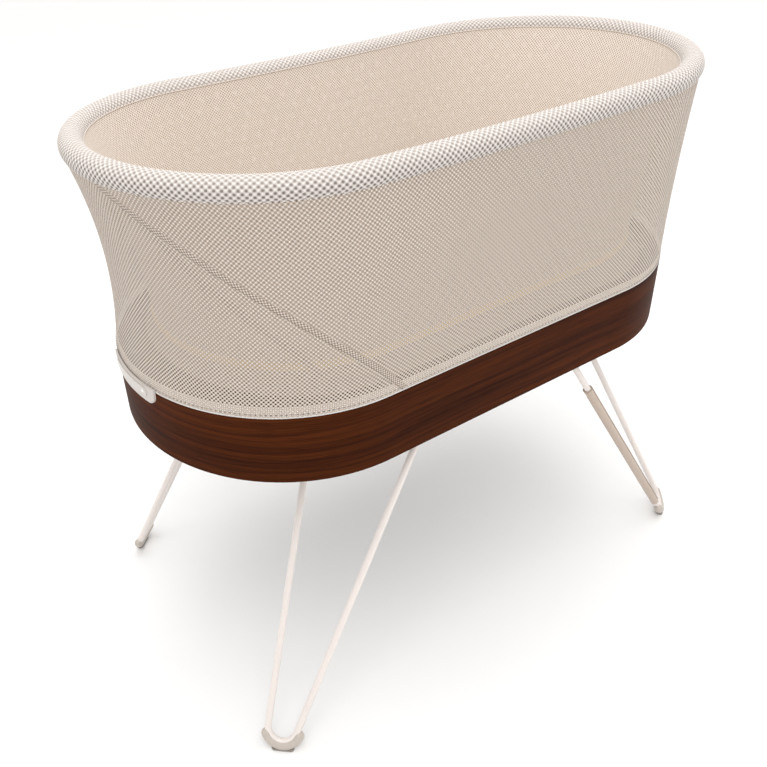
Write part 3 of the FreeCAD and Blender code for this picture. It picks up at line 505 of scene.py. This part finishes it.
TUBE_SIDES, TUBE_STEPS = 8, 420


def ring_tube(name, path, height, radius, material, flat=1.0):
    """Closed cord or tape round an oval; flat is its thickness as a share of its height."""
    turns = [-2 * math.pi * k / TUBE_SIDES for k in range(TUBE_SIDES + 1)]
    section = [(radius * flat * math.cos(a), radius * math.sin(a)) for a in turns]
    grid, run = swept(path, section, height, TUBE_STEPS)
    cloth = np.stack(np.meshgrid(np.arange(TUBE_STEPS + 1) / TUBE_STEPS * run,
                                 np.arange(TUBE_SIDES + 1) * radius), -1)
    piece = grid_piece(name, grid, cloth, True, material, flip=True)
    merged(piece.data)
    return piece


def level_at(z):
    """A height for swept and ring_tube that is the same all round."""
    return lambda x: np.full(len(x), z)


def merged(mesh, distance=1e-6):
    """Joins the mesh's doubled points."""
    work = bmesh.new()
    work.from_mesh(mesh)
    bmesh.ops.remove_doubles(work, verts=work.verts, dist=distance)
    work.to_mesh(mesh)
    work.free()


def paint(nodes, material):
    """Puts one material on CAD nodes."""
    for node in nodes:
        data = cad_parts[node].data
        data.materials.clear()
        data.materials.append(material)


# ---- geometry node trees ----
def stitch_tree():
    """Stitches along a curve: short rounded bars at an even pitch, turned along it."""
    tree = bpy.data.node_groups.new("Stitches", "GeometryNodeTree")
    face = tree.interface
    face.new_socket("Path", in_out="INPUT", socket_type="NodeSocketGeometry")
    for title in ("Pitch", "Length", "Thickness"):
        face.new_socket(title, in_out="INPUT", socket_type="NodeSocketFloat")
    face.new_socket("Thread", in_out="INPUT", socket_type="NodeSocketMaterial")
    face.new_socket("Stitches", in_out="OUTPUT", socket_type="NodeSocketGeometry")
    net = Net(tree)
    path, pitch, long, thick, thread = (Wire(net, s) for s in net.add("NodeGroupInput").outputs[:5])
    spaced = net.make("GeometryNodeResampleCurve", {"mode": "LENGTH"}, {"Curve": path, "Length": pitch})
    bead = net.make("GeometryNodeMeshUVSphere", None, {"Segments": 6, "Rings": 4, "Radius": 0.5})
    size = net.make("ShaderNodeCombineXYZ", None, {0: long, 1: thick, 2: thick})
    bead = net.make("GeometryNodeTransform", None, {"Geometry": bead, "Scale": size})
    tangent = net.make("GeometryNodeInputTangent")
    turn = net.make("FunctionNodeAlignRotationToVector", {"axis": "X"}, {"Vector": tangent})
    placed = net.make("GeometryNodeInstanceOnPoints", None,
                      {"Points": spaced, "Instance": bead, "Rotation": turn})
    real = net.make("GeometryNodeRealizeInstances", None, {"Geometry": placed})
    smooth = net.make("GeometryNodeSetShadeSmooth", None, {0: real})
    done = net.make("GeometryNodeSetMaterial", None, {"Geometry": smooth, "Material": thread})
    tree.links.new(done.socket, net.add("NodeGroupOutput").inputs[0])
    return tree


def grown(name, source, tree, values):
    """Runs a geometry node tree on a curve or mesh and keeps the result as a plain mesh."""
    modifier = source.modifiers.new("Grow", "NODES")
    modifier.node_group = tree
    names = {item.name: item.identifier for item in tree.interface.items_tree if item.in_out == "INPUT"}
    for title, value in values.items():
        modifier[names[title]] = value
    bpy.context.view_layer.update()
    evaluated = source.evaluated_get(bpy.context.evaluated_depsgraph_get())
    mesh = bpy.data.meshes.new_from_object(evaluated)
    mesh.name = name
    bpy.data.objects.remove(source)
    if not len(mesh.polygons):
        raise RuntimeError(name + " came out empty")
    return link(bpy.data.objects.new(name, mesh))


def path_curve(points):
    """Closed curve through the points."""
    data = bpy.data.curves.new("path", "CURVE")
    data.dimensions = "3D"
    spline = data.splines.new("POLY")
    spline.points.add(len(points) - 1)
    spline.points.foreach_set("co", np.column_stack([points, np.ones(len(points))]).ravel())
    spline.use_cyclic_u = True
    return link(bpy.data.objects.new("path", data))


# ---- outer wall ----
TABLE_SHARES = np.arange(1200) / 1200
TABLE_LEVELS = np.linspace(0, 1, 49)
WALL_INSET = 0.0006                        # how far the wall stands in from the band's face
WALL_HOLE, WALL_DEPTH = -0.52, 0.0006
PANEL_COLUMNS = 240
BACK_SHIFT = 0.0022                        # the back panel's knit doesn't run on from the front one's
SEAM = (-0.0818, -0.0992, -0.0524)         # the front seam's share at level t is a + b t + c t^2
SEAM_WIDTH = 0.0078
SEAM_SPAN = (-0.15, 0.85)                  # how its width lies across the joint
SEAM_TOP = 0.985                           # the level where it goes under the rim's cover
SEAM_STEPS, SEAM_ROWS = 330, 9
SEAM_LIFT, SEAM_CROWN = 0.0001, 0.0003     # its height over the wall at its edges, and more in its middle
SHARE_STEP = 0.002                         # half the stretch of wall that its outward side is found from


def seam_share(t):
    """The front seam's share of the way round at level t."""
    return SEAM[0] + SEAM[1] * t + SEAM[2] * t * t


def seam_slope(t):
    """How fast that share changes with the level."""
    return SEAM[1] + 2 * SEAM[2] * t


def outer_table():
    """The outer wall's points, from the band's piping to the rim."""
    s = bpy.context.scene.bassinet_sizes
    low = (s.band_straight, BAND_HIGH.x - s.band_straight - WALL_INSET, BAND_HIGH.y - WALL_INSET,
           BAND_HIGH.z + s.piping * 0.5)
    return wall_table(low, OUTER_TUCK, s.waist, s.side_bulge, TABLE_SHARES, TABLE_LEVELS)


def table_size(table):
    """Length round the middle and height of a wall table."""
    middle = table[len(table) // 2]
    run = np.linalg.norm(np.roll(middle, -1, 0) - middle, axis=1).sum()
    return run, np.linalg.norm(np.diff(table[:, 0], axis=0), axis=1).sum()


class BASSINET_OT_outer_wall(bpy.types.Operator):
    """Two knitted panels joined by two diagonal seams"""
    bl_idname = "bassinet.outer_wall"
    bl_label = "Outer wall"

    def execute(self, context):
        s, c = context.scene.bassinet_sizes, context.scene.bassinet_colours
        table = outer_table()
        run, height = table_size(table)
        # Painted shade: the wall's knit is a darker copy of the rim's, with painted shade in its gaps and
        # a painted highlight on its knobs.
        cloth_finish = knit("outer knit", c.yarn, c.yarn_gap_shade, c.highlight_white, s.knit_across, s.knit_up,
                            WALL_HOLE, WALL_DEPTH)
        across = np.linspace(0, 0.5, PANEL_COLUMNS)
        repeats = round(run / s.knit_across) * s.knit_across
        for name, start, shift in (("wall_panel_front", 0.0, 0.0), ("wall_panel_back", 0.5, BACK_SHIFT)):
            share = seam_share(TABLE_LEVELS)[:, None] + start + across[None, :]
            level = np.broadcast_to(TABLE_LEVELS[:, None], share.shape)
            cloth = np.stack([share * repeats + shift, level * height + shift], -1)
            panel = grid_piece(name, looked_up(table, share, level), cloth, False, cloth_finish)
            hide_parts("outer_mesh")
            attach(panel, "base")
        self.seams(table, run, height)
        return {"FINISHED"}

    def seams(self, table, run, height):
        """The seams' allowances, each a narrow strip that lies on both panels."""
        level = np.linspace(0.0, SEAM_TOP, SEAM_STEPS)[None, :]
        slope = np.stack(np.broadcast_arrays(seam_slope(level) * run, height), -1)
        slope /= np.linalg.norm(slope, axis=-1, keepdims=True)
        offset = np.linspace(*SEAM_SPAN, SEAM_ROWS)[:, None] * SEAM_WIDTH
        along = np.concatenate([[0.0], np.cumsum(np.hypot(np.diff(seam_share(level[0])) * run,
                                                         np.diff(level[0]) * height))])
        finish = self.seam_finish()
        for name, start in (("wall_seam_front", 0.0), ("wall_seam_back", 0.5)):
            share = seam_share(level) + start + offset * slope[..., 1] / run
            lifted = level - offset * slope[..., 0] / height
            points = looked_up(table, share, lifted)
            ahead = (looked_up(table, share + SHARE_STEP, lifted)
                     - looked_up(table, share - SHARE_STEP, lifted))
            out = np.stack([ahead[..., 1], -ahead[..., 0], np.zeros(ahead.shape[:2])], -1)
            out /= np.linalg.norm(out, axis=-1, keepdims=True)
            crown = np.sin(np.linspace(0, np.pi, SEAM_ROWS))[:, None, None]
            points = points + out * (SEAM_LIFT + SEAM_CROWN * crown)
            cloth = np.stack(np.broadcast_arrays(along[None, :], offset), -1)
            ribbon = grid_piece(name, points, cloth, False, finish, flip=True)
            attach(ribbon, "base")

    def seam_finish(self):
        """Two rows of tight knobs beside a sunk line, with painted shade in the line and between the
        knobs and a painted highlight on the knobs.
        """
        c = bpy.context.scene.bassinet_colours
        f = Finish("seam knit")
        u, v = f.laid()
        knobs = u.wave(0.0044) * (v - 0.0010).wave(0.0040)
        groove = 1 - v.math("ABSOLUTE").ramp(0.0001, 0.0008)
        # Painted shade in the sunk line and between the knobs.
        shown = knobs.ramp(-0.6, 0.5) * (1 - groove * 0.7)
        base = f.blend(shown, tinted(c.yarn_gap_shade, 0.85), c.yarn)
        # Painted highlight on the knobs.
        base = f.blend(knobs.ramp(0.4, 1.0) * 0.7, base, c.highlight_white)
        return f.set(Base_Color=base, Roughness=0.88, Sheen_Weight=0.1,
                     Normal=f.bump(knobs - groove * 1.5, 0.0004, 0.8))


# ---- rim ----
KNOB_STEPS = 5                             # mesh steps to one repeat of the knit
WRAP_START, WRAP = math.radians(-52), math.radians(232)      # where the cover starts and how far it goes
RIM_DEPTH = 0.0009
CORD_INSET, CORD_RISE, CORD_RADIUS = 0.0146, 0.0012, 0.0010  # cord where the cover and the lining meet
FOAM_OUTSIDE, FOAM_INSIDE = 0.78, 0.56     # shares of the roll's radius
FOAM_SLIT = math.radians(50)               # half of the foam's opening
FOAM_SIDES, FOAM_STEPS = 20, 360


class BASSINET_OT_rim(bpy.types.Operator):
    """Padded rim: foam round the hoop, a knobbly knitted cover and the cord along its inner edge"""
    bl_idname = "bassinet.rim"
    bl_label = "Padded rim"

    def execute(self, context):
        s, c = context.scene.bassinet_sizes, context.scene.bassinet_colours
        run = oval_ring(*rim_oval(0.0), np.zeros(1))[1]
        cells = round(run / s.rim_knit_across)
        columns = np.arange(cells * KNOB_STEPS)
        rows = round(WRAP * s.roll_radius / s.rim_knit_up * KNOB_STEPS)
        wave = np.cos(columns / KNOB_STEPS * 2 * np.pi)
        step = s.rim_knit_up / KNOB_STEPS
        section = []
        for j in range(rows + 1):
            turn = WRAP_START + j * step / s.roll_radius
            radius = s.roll_radius - s.knob * (1 - wave * math.cos(2 * math.pi * j / KNOB_STEPS))
            section.append((radius * math.cos(turn), radius * math.sin(turn)))
        grid = swept(rim_oval(0.0), section, rim_height, len(columns))[0]
        wide, high = np.meshgrid(np.arange(len(columns) + 1) / KNOB_STEPS * s.rim_knit_across,
                                 np.arange(rows + 1) * step)
        # The rim's knit is the lit copy of the wall's, with painted shade in its gaps, darker on the
        # under and outer side than on top, and a painted highlight on its knobs.
        finish = knit("rim knit", c.rim_yarn, c.rim_gap_under_shade, c.highlight_white, s.rim_knit_across,
                      s.rim_knit_up, 0, RIM_DEPTH, top_gap_shade=c.rim_gap_top_shade)
        cover = grid_piece("rim_cover", grid, np.stack([wide, high], -1), True, finish)
        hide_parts("rim_sleeve")
        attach(cover, "base")
        self.padding(s)
        cord = ring_tube("rim_cord", rim_oval(-CORD_INSET), lambda x: rim_height(x) + CORD_RISE,
                         CORD_RADIUS, tape("rim cord", c.lining))
        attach(cord, "base")
        return {"FINISHED"}

    def padding(self, s):
        """C-shaped foam, slit along its underside for the hoop."""
        f = Finish("foam")
        at = f.vector(*f.place())
        cells = f.noise(at, 900.0, 2.0)
        base = f.blend(cells, (0.55, 0.55, 0.53), (0.72, 0.72, 0.70))
        foam = f.set(Base_Color=base, Roughness=0.95, Normal=f.bump(cells, 0.0002, 0.8))
        outside, inside = s.roll_radius * FOAM_OUTSIDE, s.roll_radius * FOAM_INSIDE
        first, sweep = -math.pi / 2 + FOAM_SLIT, 2 * math.pi - 2 * FOAM_SLIT
        turns = [first + k * sweep / FOAM_SIDES for k in range(FOAM_SIDES + 1)]
        section = [(outside, a) for a in turns] + [(inside, a) for a in reversed(turns)]
        section = [(radius * math.cos(a), radius * math.sin(a)) for radius, a in section + section[:1]]
        grid = swept(rim_oval(0.0), section, rim_height, FOAM_STEPS)[0]
        cloth = np.zeros((len(grid), FOAM_STEPS + 1, 2))
        padding = grid_piece("rim_padding", grid, cloth, True, foam)
        merged(padding.data)
        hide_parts("rim_foam")
        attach(padding, "base")


# ---- lining ----
FOOT_GAP, FOOT_DROP = 0.0012, 0.003        # the lining's foot outside and below the platform's edge
# LINING_GLOW, HEM_GLOW and SKIRT_GLOW are painted light: emission strengths that brighten the lining, the
# tapes and the skirt.
LINING_HOLE, LINING_DEPTH, LINING_GLOW = -0.70, 0.0004, 0.28
LINING_COLUMNS = 480
HEM_RADIUS, HEM_FLAT, HEM_GLOW = 0.0058, 0.22, 0.45
SKIRT_TOP_DROP = 0.005
SKIRT_SPREAD, SKIRT_END, SKIRT_HALF, SKIRT_RISE = 0.014, 0.196, 0.2195, 0.010    # the skirt's foot
SKIRT_ROWS, SKIRT_DEPTH, SKIRT_GLOW = 12, 0.0003, 0.45


class BASSINET_OT_lining(bpy.types.Operator):
    """Inner knit from the rim to the platform, its hem tape and the skirt under it"""
    bl_idname = "bassinet.lining"
    bl_label = "Lining"

    def execute(self, context):
        s, c = context.scene.bassinet_sizes, context.scene.bassinet_colours
        foot_half = PLATFORM_HIGH.y + FOOT_GAP
        foot_z = PLATFORM_HIGH.z - FOOT_DROP
        low = (s.platform_straight, foot_half, foot_half, foot_z)
        table = wall_table(low, LINING_TUCK, s.lining_waist, 0.0, TABLE_SHARES, TABLE_LEVELS)
        run, height = table_size(table)
        repeats = round(run / s.lining_knit) * s.lining_knit
        # Painted shade in the lining's gaps, a painted highlight on its knobs from a lighter copy of its
        # colour, and painted light from its emission.
        finish = knit("lining knit", c.lining, c.lining_gap_shade, tinted(c.lining, 1.15), s.lining_knit,
                      s.lining_knit, LINING_HOLE, LINING_DEPTH, LINING_GLOW)
        shares = np.arange(LINING_COLUMNS) / LINING_COLUMNS
        closed = np.arange(LINING_COLUMNS + 1) / LINING_COLUMNS
        share, level = np.meshgrid(shares, TABLE_LEVELS)
        wide, high = np.meshgrid(closed, TABLE_LEVELS)
        cloth = np.stack([wide * repeats, high * height], -1)
        wall = grid_piece("lining", looked_up(table, share, level), cloth, True, finish, flip=True)
        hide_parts("inner_lining")
        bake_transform(wall)

        # Painted light: the hem tape's emission.
        hem = ring_tube("lining_hem", (s.platform_straight, foot_half + 0.0011, foot_half + 0.0011),
                        level_at(PLATFORM_HIGH.z - 0.001), HEM_RADIUS,
                        tape("hem tape", c.hem, HEM_GLOW), HEM_FLAT)
        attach(hem, "platform")

        skirt_top = (s.platform_straight, foot_half, foot_half, PLATFORM_HIGH.z - SKIRT_TOP_DROP)
        skirt_foot = (s.platform_straight + SKIRT_SPREAD, SKIRT_END, SKIRT_HALF, BAND_HIGH.z + SKIRT_RISE)
        grid = []
        for t in np.arange(SKIRT_ROWS + 1) / SKIRT_ROWS:
            straight, end, half, z = (a + (b - a) * t for a, b in zip(skirt_foot, skirt_top))
            ring, round_top = oval_ring(straight, end, half, shares)
            grid.append(np.column_stack([ring, np.full(len(ring), z)]))
        grid = np.array(grid)
        deep = np.linalg.norm(grid[-1, 0] - grid[0, 0])
        wide, high = np.meshgrid(closed * round_top, np.linspace(0, deep, SKIRT_ROWS + 1))
        # Painted shade: the skirt is a darker copy of the lining, standing in for the shade it hangs in
        # under the platform, with painted light from its emission.
        skirt_finish = knit("skirt knit", tinted(c.lining, 0.52), tinted(c.lining_gap_shade, 0.5),
                            tinted(c.lining, 0.6), s.lining_knit, s.lining_knit, 0, SKIRT_DEPTH,
                            SKIRT_GLOW)
        skirt = grid_piece("lining_skirt", grid, np.stack([wide, high], -1), True, skirt_finish)
        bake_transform(skirt)
        return {"FINISHED"}


# ---- hem on the band ----
STITCH_POINTS, STITCH_RISE = 900, 0.0052   # points of the stitches' path, and its height over the band
STITCH_LONG, STITCH_THICK = 0.0036, 0.0008
STRIP_LEVELS = np.linspace(0.001, 0.0145, 4)         # heights of the inner tape's rows over the band
STRIP_COLUMNS, STRIP_INSET = 720, 0.0016


class BASSINET_OT_hem(bpy.types.Operator):
    """Piping, stitches and inner tape where the wall meets the band"""
    bl_idname = "bassinet.hem"
    bl_label = "Wall hem"

    def execute(self, context):
        s, c = context.scene.bassinet_sizes, context.scene.bassinet_colours
        end, half = BAND_HIGH.x - s.band_straight, BAND_HIGH.y
        white = tape("piping", tinted(c.highlight_white, 0.84))
        piping = ring_tube("band_piping", (s.band_straight, end - 0.0011, half - 0.0011),
                           level_at(BAND_HIGH.z + s.piping * 0.42), s.piping / 2, white, flat=0.85)
        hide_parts("bottom_piping")
        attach(piping, "base")

        ring, run = oval_ring(s.band_straight, end - 0.0002, half - 0.0002,
                              np.arange(STITCH_POINTS) / STITCH_POINTS)
        path = path_curve(np.column_stack([ring, np.full(len(ring), BAND_HIGH.z + STITCH_RISE)]))
        thread = moulded("stitch thread", (0.20, 0.17, 0.15), 0.7)
        stitches = grown("hem_stitches", path, stitch_tree(),
                         {"Pitch": s.stitch_pitch, "Length": STITCH_LONG, "Thickness": STITCH_THICK,
                          "Thread": thread})
        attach(stitches, "base")

        table = outer_table()
        shares, grid = np.arange(STRIP_COLUMNS) / STRIP_COLUMNS, []
        for z in STRIP_LEVELS:
            ring = looked_up(table, shares, np.full(STRIP_COLUMNS, z / (RIM_HIGH.z - BAND_HIGH.z)))
            inward = 1 - STRIP_INSET / np.hypot(ring[:, 0], ring[:, 1])
            grid.append(ring * np.column_stack([inward, inward, np.ones(STRIP_COLUMNS)]))
        wide, high = np.meshgrid(np.arange(STRIP_COLUMNS + 1) / STRIP_COLUMNS * run, STRIP_LEVELS)
        # Painted light: the backing tape's emission.
        strip = grid_piece("hem_tape", np.array(grid), np.stack([wide, high], -1), True,
                           tape("backing tape", c.highlight_white, HEM_GLOW))
        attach(strip, "base")
        return {"FINISHED"}


# ---- mattress ----
FOAM_SHARE = (0.991, 0.984, 0.93, 1)       # the foam's size before it swells, as shares of the mattress
VOXEL = 0.0075
SWELL_FRAMES = 16
PIPING_RADIUS, PIPING_INSET = 0.0015, 0.0004
PIPING_UNDER_TOP, PIPING_OVER_FOOT = 0.0085, 0.0065


class BASSINET_OT_mattress(bpy.types.Operator):
    """Foam mattress swollen in its cotton cover, with piped edges"""
    bl_idname = "bassinet.mattress"
    bl_label = "Mattress"

    def execute(self, context):
        s = context.scene.bassinet_sizes
        finish = cotton("mattress cotton", (0.53, 0.505, 0.47))
        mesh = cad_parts["mattress"].data.copy()
        merged(mesh, 1e-5)
        mesh.transform(Matrix.Translation((0, 0, MATTRESS_LOW.z)) @ Matrix.Diagonal(FOAM_SHARE)
                       @ Matrix.Translation((0, 0, -MATTRESS_LOW.z)))
        pad = link(bpy.data.objects.new("mattress_pad", mesh))
        remesh = pad.modifiers.new("Remesh", "REMESH")
        remesh.mode, remesh.voxel_size = "VOXEL", VOXEL
        pad = self.baked(pad)
        pad = self.swollen(pad, s.mattress_rise)
        points = np.array([v.co for v in pad.data.vertices])
        points[:, 2] = np.maximum(points[:, 2], MATTRESS_LOW.z)
        pad.data.vertices.foreach_set("co", points.astype(np.float32).ravel())
        subdivide = pad.modifiers.new("Smooth", "SUBSURF")
        subdivide.levels = subdivide.render_levels = 1
        pad = self.baked(pad)
        pad.data.materials.clear()
        pad.data.materials.append(finish)
        pad.data.polygons.foreach_set("use_smooth", np.ones(len(pad.data.polygons), bool))
        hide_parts("mattress")
        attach(pad, "mattress")
        points = np.array([v.co for v in pad.data.vertices])
        for name, z in (("mattress_piping_top", MATTRESS_HIGH.z - PIPING_UNDER_TOP),
                        ("mattress_piping_foot", MATTRESS_LOW.z + PIPING_OVER_FOOT)):
            near = points[abs(points[:, 2] - z) < 0.002]
            half = near[:, 1].max() - PIPING_INSET
            end = near[:, 0].max() - PIPING_INSET - s.platform_straight
            edge = ring_tube(name, (s.platform_straight, end, half), level_at(z), PIPING_RADIUS,
                             tape(name, (0.52, 0.49, 0.45)))
            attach(edge, "mattress")
        return {"FINISHED"}

    def baked(self, obj):
        """The object with its modifiers applied."""
        bpy.context.view_layer.update()
        evaluated = obj.evaluated_get(bpy.context.evaluated_depsgraph_get())
        mesh = bpy.data.meshes.new_from_object(evaluated)
        name = obj.name
        bpy.data.objects.remove(obj)
        return link(bpy.data.objects.new(name, mesh))

    def swollen(self, obj, cap):
        """Inflates the cover with cloth and keeps each point within cap of where it began."""
        before = np.array([v.co for v in obj.data.vertices])
        cloth = obj.modifiers.new("Cloth", "CLOTH")
        cloth.settings.quality = 5
        cloth.settings.mass = 0.3
        cloth.settings.tension_stiffness = 30
        cloth.settings.bending_stiffness = 1.5
        cloth.settings.use_pressure = True
        cloth.settings.uniform_pressure_force = 4
        cloth.settings.effector_weights.gravity = 0
        cloth.point_cache.frame_end = SWELL_FRAMES
        scene = bpy.context.scene
        for step in range(1, SWELL_FRAMES + 1):
            scene.frame_set(step)
        evaluated = obj.evaluated_get(bpy.context.evaluated_depsgraph_get())
        after = np.array([v.co for v in evaluated.data.vertices])
        obj.modifiers.remove(cloth)
        scene.frame_set(1)
        move = after - before
        far = np.linalg.norm(move, axis=1, keepdims=True)
        move *= np.minimum(1.0, cap / np.maximum(far, 1e-9))
        obj.data.vertices.foreach_set("co", (before + move).astype(np.float32).ravel())
        obj.data.update()
        return obj


# ---- finishes of the CAD parts ----
class BASSINET_OT_wood(bpy.types.Operator):
    """Walnut on the bentwood band"""
    bl_idname = "bassinet.wood"
    bl_label = "Wood band"

    def execute(self, context):
        paint(["wood_band"], walnut("walnut"))
        return {"FINISHED"}


class BASSINET_OT_legs(bpy.types.Operator):
    """Powder-coated legs, their shoes, soles and cable channel"""
    bl_idname = "bassinet.legs"
    bl_label = "Legs and feet"

    def execute(self, context):
        c = context.scene.bassinet_colours
        coat = powder_coat("leg coat", c.coat)
        paint(["leg_" + n for n in CORNERS], coat)
        # The channel's darker tan is painted shade and reflection.
        paint(["cable_channel"], moulded("channel plastic", c.channel, 0.22))
        paint(["foot_shoe_" + n for n in CORNERS], moulded("shoe plastic", c.shoe, 0.42, 0.00004))
        paint(["foot_sole_" + n for n in CORNERS], rubber("sole rubber"))
        return {"FINISHED"}


class BASSINET_OT_base(bpy.types.Operator):
    """Pan, covers, sockets, drive and electrics inside the base"""
    bl_idname = "bassinet.base"
    bl_label = "Base"

    def execute(self, context):
        c = context.scene.bassinet_colours
        dark = moulded("base plastic", (0.022, 0.021, 0.020), 0.6, 0.00005)
        paint(["base_pan", "under_cover", "base_deck", "power_inlet", "switch_pad"], dark)
        cast = metal("cast aluminium", (0.62, 0.62, 0.63), 0.5, (500.0, 500.0, 500.0))
        paint(["leg_socket_" + n for n in CORNERS] + ["pivot_hub"], cast)
        paint(["rim_hoop"], metal("hoop tube", (0.72, 0.72, 0.73), 0.3))
        paint(["rim_strut_front", "rim_strut_back"], powder_coat("strut coat", tinted(c.coat, 0.9)))
        steel = metal("bright steel", (0.56, 0.56, 0.57), 0.28)
        screws = ["cover_screws", "deck_screws", "socket_screws", "drive_screws", "platform_screws"]
        paint(["pivot_shaft", "pivot_circlip", "motor_shaft", "motor_plate"] + screws, steel)
        paint(["motor", "speaker_frame"], metal("plated steel", (0.42, 0.42, 0.43), 0.42))
        paint(["bush_upper", "bush_lower", "drive_pinion"],
              metal("sintered bronze", (0.50, 0.33, 0.14), 0.4))
        paint(["sector_gear", "glide_pads", "board_standoffs"],
              moulded("acetal", (0.68, 0.66, 0.58), 0.38))
        paint(["control_board"], circuit("circuit board"))
        paint(["board_parts"], moulded("chip bodies", (0.02, 0.02, 0.022), 0.45, 0.00004, 900.0))
        paint(["speaker_cone"], moulded("pressed paper", (0.03, 0.03, 0.03), 0.9, 0.0001, 700.0))
        paint(["platform"], moulded("platform plastic", c.tab, 0.5, 0.00004))
        return {"FINISHED"}


class BASSINET_OT_control(bpy.types.Operator):
    """Control tab, button and lamp on the left end"""
    bl_idname = "bassinet.control"
    bl_label = "End control"

    def execute(self, context):
        c = context.scene.bassinet_colours
        paint(["control_tab"], moulded("tab plastic", c.tab, 0.36))
        paint(["power_button"], moulded("button plastic", tinted(c.tab, 1.05), 0.3))
        paint(["status_lamp"], lamp_lens("lamp lens"))
        return {"FINISHED"}


# ---- stage ----
CAMERA_AT = (-0.6799, -0.8520, 1.0558)
CAMERA_RIGHT = Vector((0.8372, -0.5436, -0.0596))
CAMERA_UP = Vector((0.3333, 0.4207, 0.8438))
CAMERA_LENS = 38.38
CAMERA_SHIFT = (0.10, -0.0357)
FLOOR_REACH = 30.0
SKY_LEVEL, SKY_RISE = 0.68, 0.78           # the sky's strength at the horizon, and how much more overhead
LAMPS = (("key", (-0.9, -1.3, 2.9), (0, 0, 0.5), 1.8, 20),   # name, place, target, size, power
         ("top", (0.3, 0.3, 3.2), (0, 0, 0.4), 2.2, 25),
         ("right_fill", (2.6, -1.6, 1.5), (0, 0, 0.5), 1.8, 4))


class BASSINET_OT_stage(bpy.types.Operator):
    """Floor, lights and camera"""
    bl_idname = "bassinet.stage"
    bl_label = "Stage"

    def execute(self, context):
        f = Finish("studio floor")
        at = f.vector(*f.place())
        drift = f.noise(at, 3.0, 2.0)
        base = f.blend(drift, (0.93, 0.93, 0.93), (0.95, 0.95, 0.95))
        floor_finish = f.set(Base_Color=base, Roughness=0.9, Specular_IOR_Level=0.1)
        corners = [(x * FLOOR_REACH, y * FLOOR_REACH, 0) for x, y in ((-1, -1), (1, -1), (1, 1), (-1, 1))]
        mesh = bpy.data.meshes.new("studio_floor")
        mesh.from_pydata(corners, [], [(0, 1, 2, 3)])
        mesh.materials.append(floor_finish)
        link(bpy.data.objects.new("studio_floor", mesh))

        world = bpy.data.worlds.new("studio")
        world.use_nodes = True
        sky = Net(world.node_tree)
        ray = sky.add("ShaderNodeSeparateXYZ", None, {0: sky.make("ShaderNodeTexCoord")})
        level = Wire(sky, ray.outputs[2]).math("MAXIMUM", 0.0)
        background = world.node_tree.nodes["Background"]
        background.inputs[0].default_value = (1.0, 0.985, 0.97, 1)
        sky.tree.links.new((level * level * SKY_RISE + SKY_LEVEL).socket, background.inputs[1])
        context.scene.world = world
        for values in LAMPS:
            self.lamp(*values)

        data = bpy.data.cameras.new("view")
        data.sensor_width, data.lens = 36.0, CAMERA_LENS
        data.shift_x, data.shift_y = CAMERA_SHIFT
        data.clip_start, data.clip_end = 0.05, 100
        camera = link(bpy.data.objects.new("view", data))
        back = CAMERA_RIGHT.cross(CAMERA_UP).normalized()
        up = back.cross(CAMERA_RIGHT).normalized()
        turn = Matrix((CAMERA_RIGHT.normalized(), up, back)).transposed().to_4x4()
        camera.matrix_world = Matrix.Translation(CAMERA_AT) @ turn
        context.scene.camera = camera
        context.scene.view_settings.view_transform = "Standard"
        return {"FINISHED"}

    def lamp(self, name, at, to, size, power):
        """Round soft lamp at one point, aimed at another."""
        data = bpy.data.lights.new(name, "AREA")
        data.shape, data.size, data.energy = "DISK", size, power
        light = link(bpy.data.objects.new(name, data))
        light.location = at
        light.rotation_euler = (Vector(to) - Vector(at)).to_track_quat("-Z", "Y").to_euler()


class BASSINET_PT_panel(bpy.types.Panel):
    """Sizes, colours and build steps"""
    bl_idname = "BASSINET_PT_panel"
    bl_label = "Bassinet"
    bl_space_type = "VIEW_3D"
    bl_region_type = "UI"
    bl_category = "Bassinet"

    def draw(self, context):
        for group in (context.scene.bassinet_sizes, context.scene.bassinet_colours):
            box = self.layout.box()
            for name in group.__annotations__:
                box.prop(group, name)
        for operator in OPERATORS:
            self.layout.operator(operator.bl_idname)


OPERATORS = (BASSINET_OT_wood, BASSINET_OT_base, BASSINET_OT_legs, BASSINET_OT_control, BASSINET_OT_rim,
             BASSINET_OT_outer_wall, BASSINET_OT_lining, BASSINET_OT_hem, BASSINET_OT_mattress,
             BASSINET_OT_stage)
CLASSES = (BassinetSizes, BassinetColours) + OPERATORS + (BASSINET_PT_panel,)


def register():
    for item in CLASSES:
        bpy.utils.register_class(item)
    bpy.types.Scene.bassinet_sizes = PointerProperty(type=BassinetSizes)
    bpy.types.Scene.bassinet_colours = PointerProperty(type=BassinetColours)


def unregister():
    del bpy.types.Scene.bassinet_colours
    del bpy.types.Scene.bassinet_sizes
    for item in reversed(CLASSES):
        bpy.utils.unregister_class(item)


def main():
    register()
    for operator in OPERATORS:
        group, name = operator.bl_idname.split(".")
        getattr(getattr(bpy.ops, group), name)()


if __name__ == "__main__":
    main()
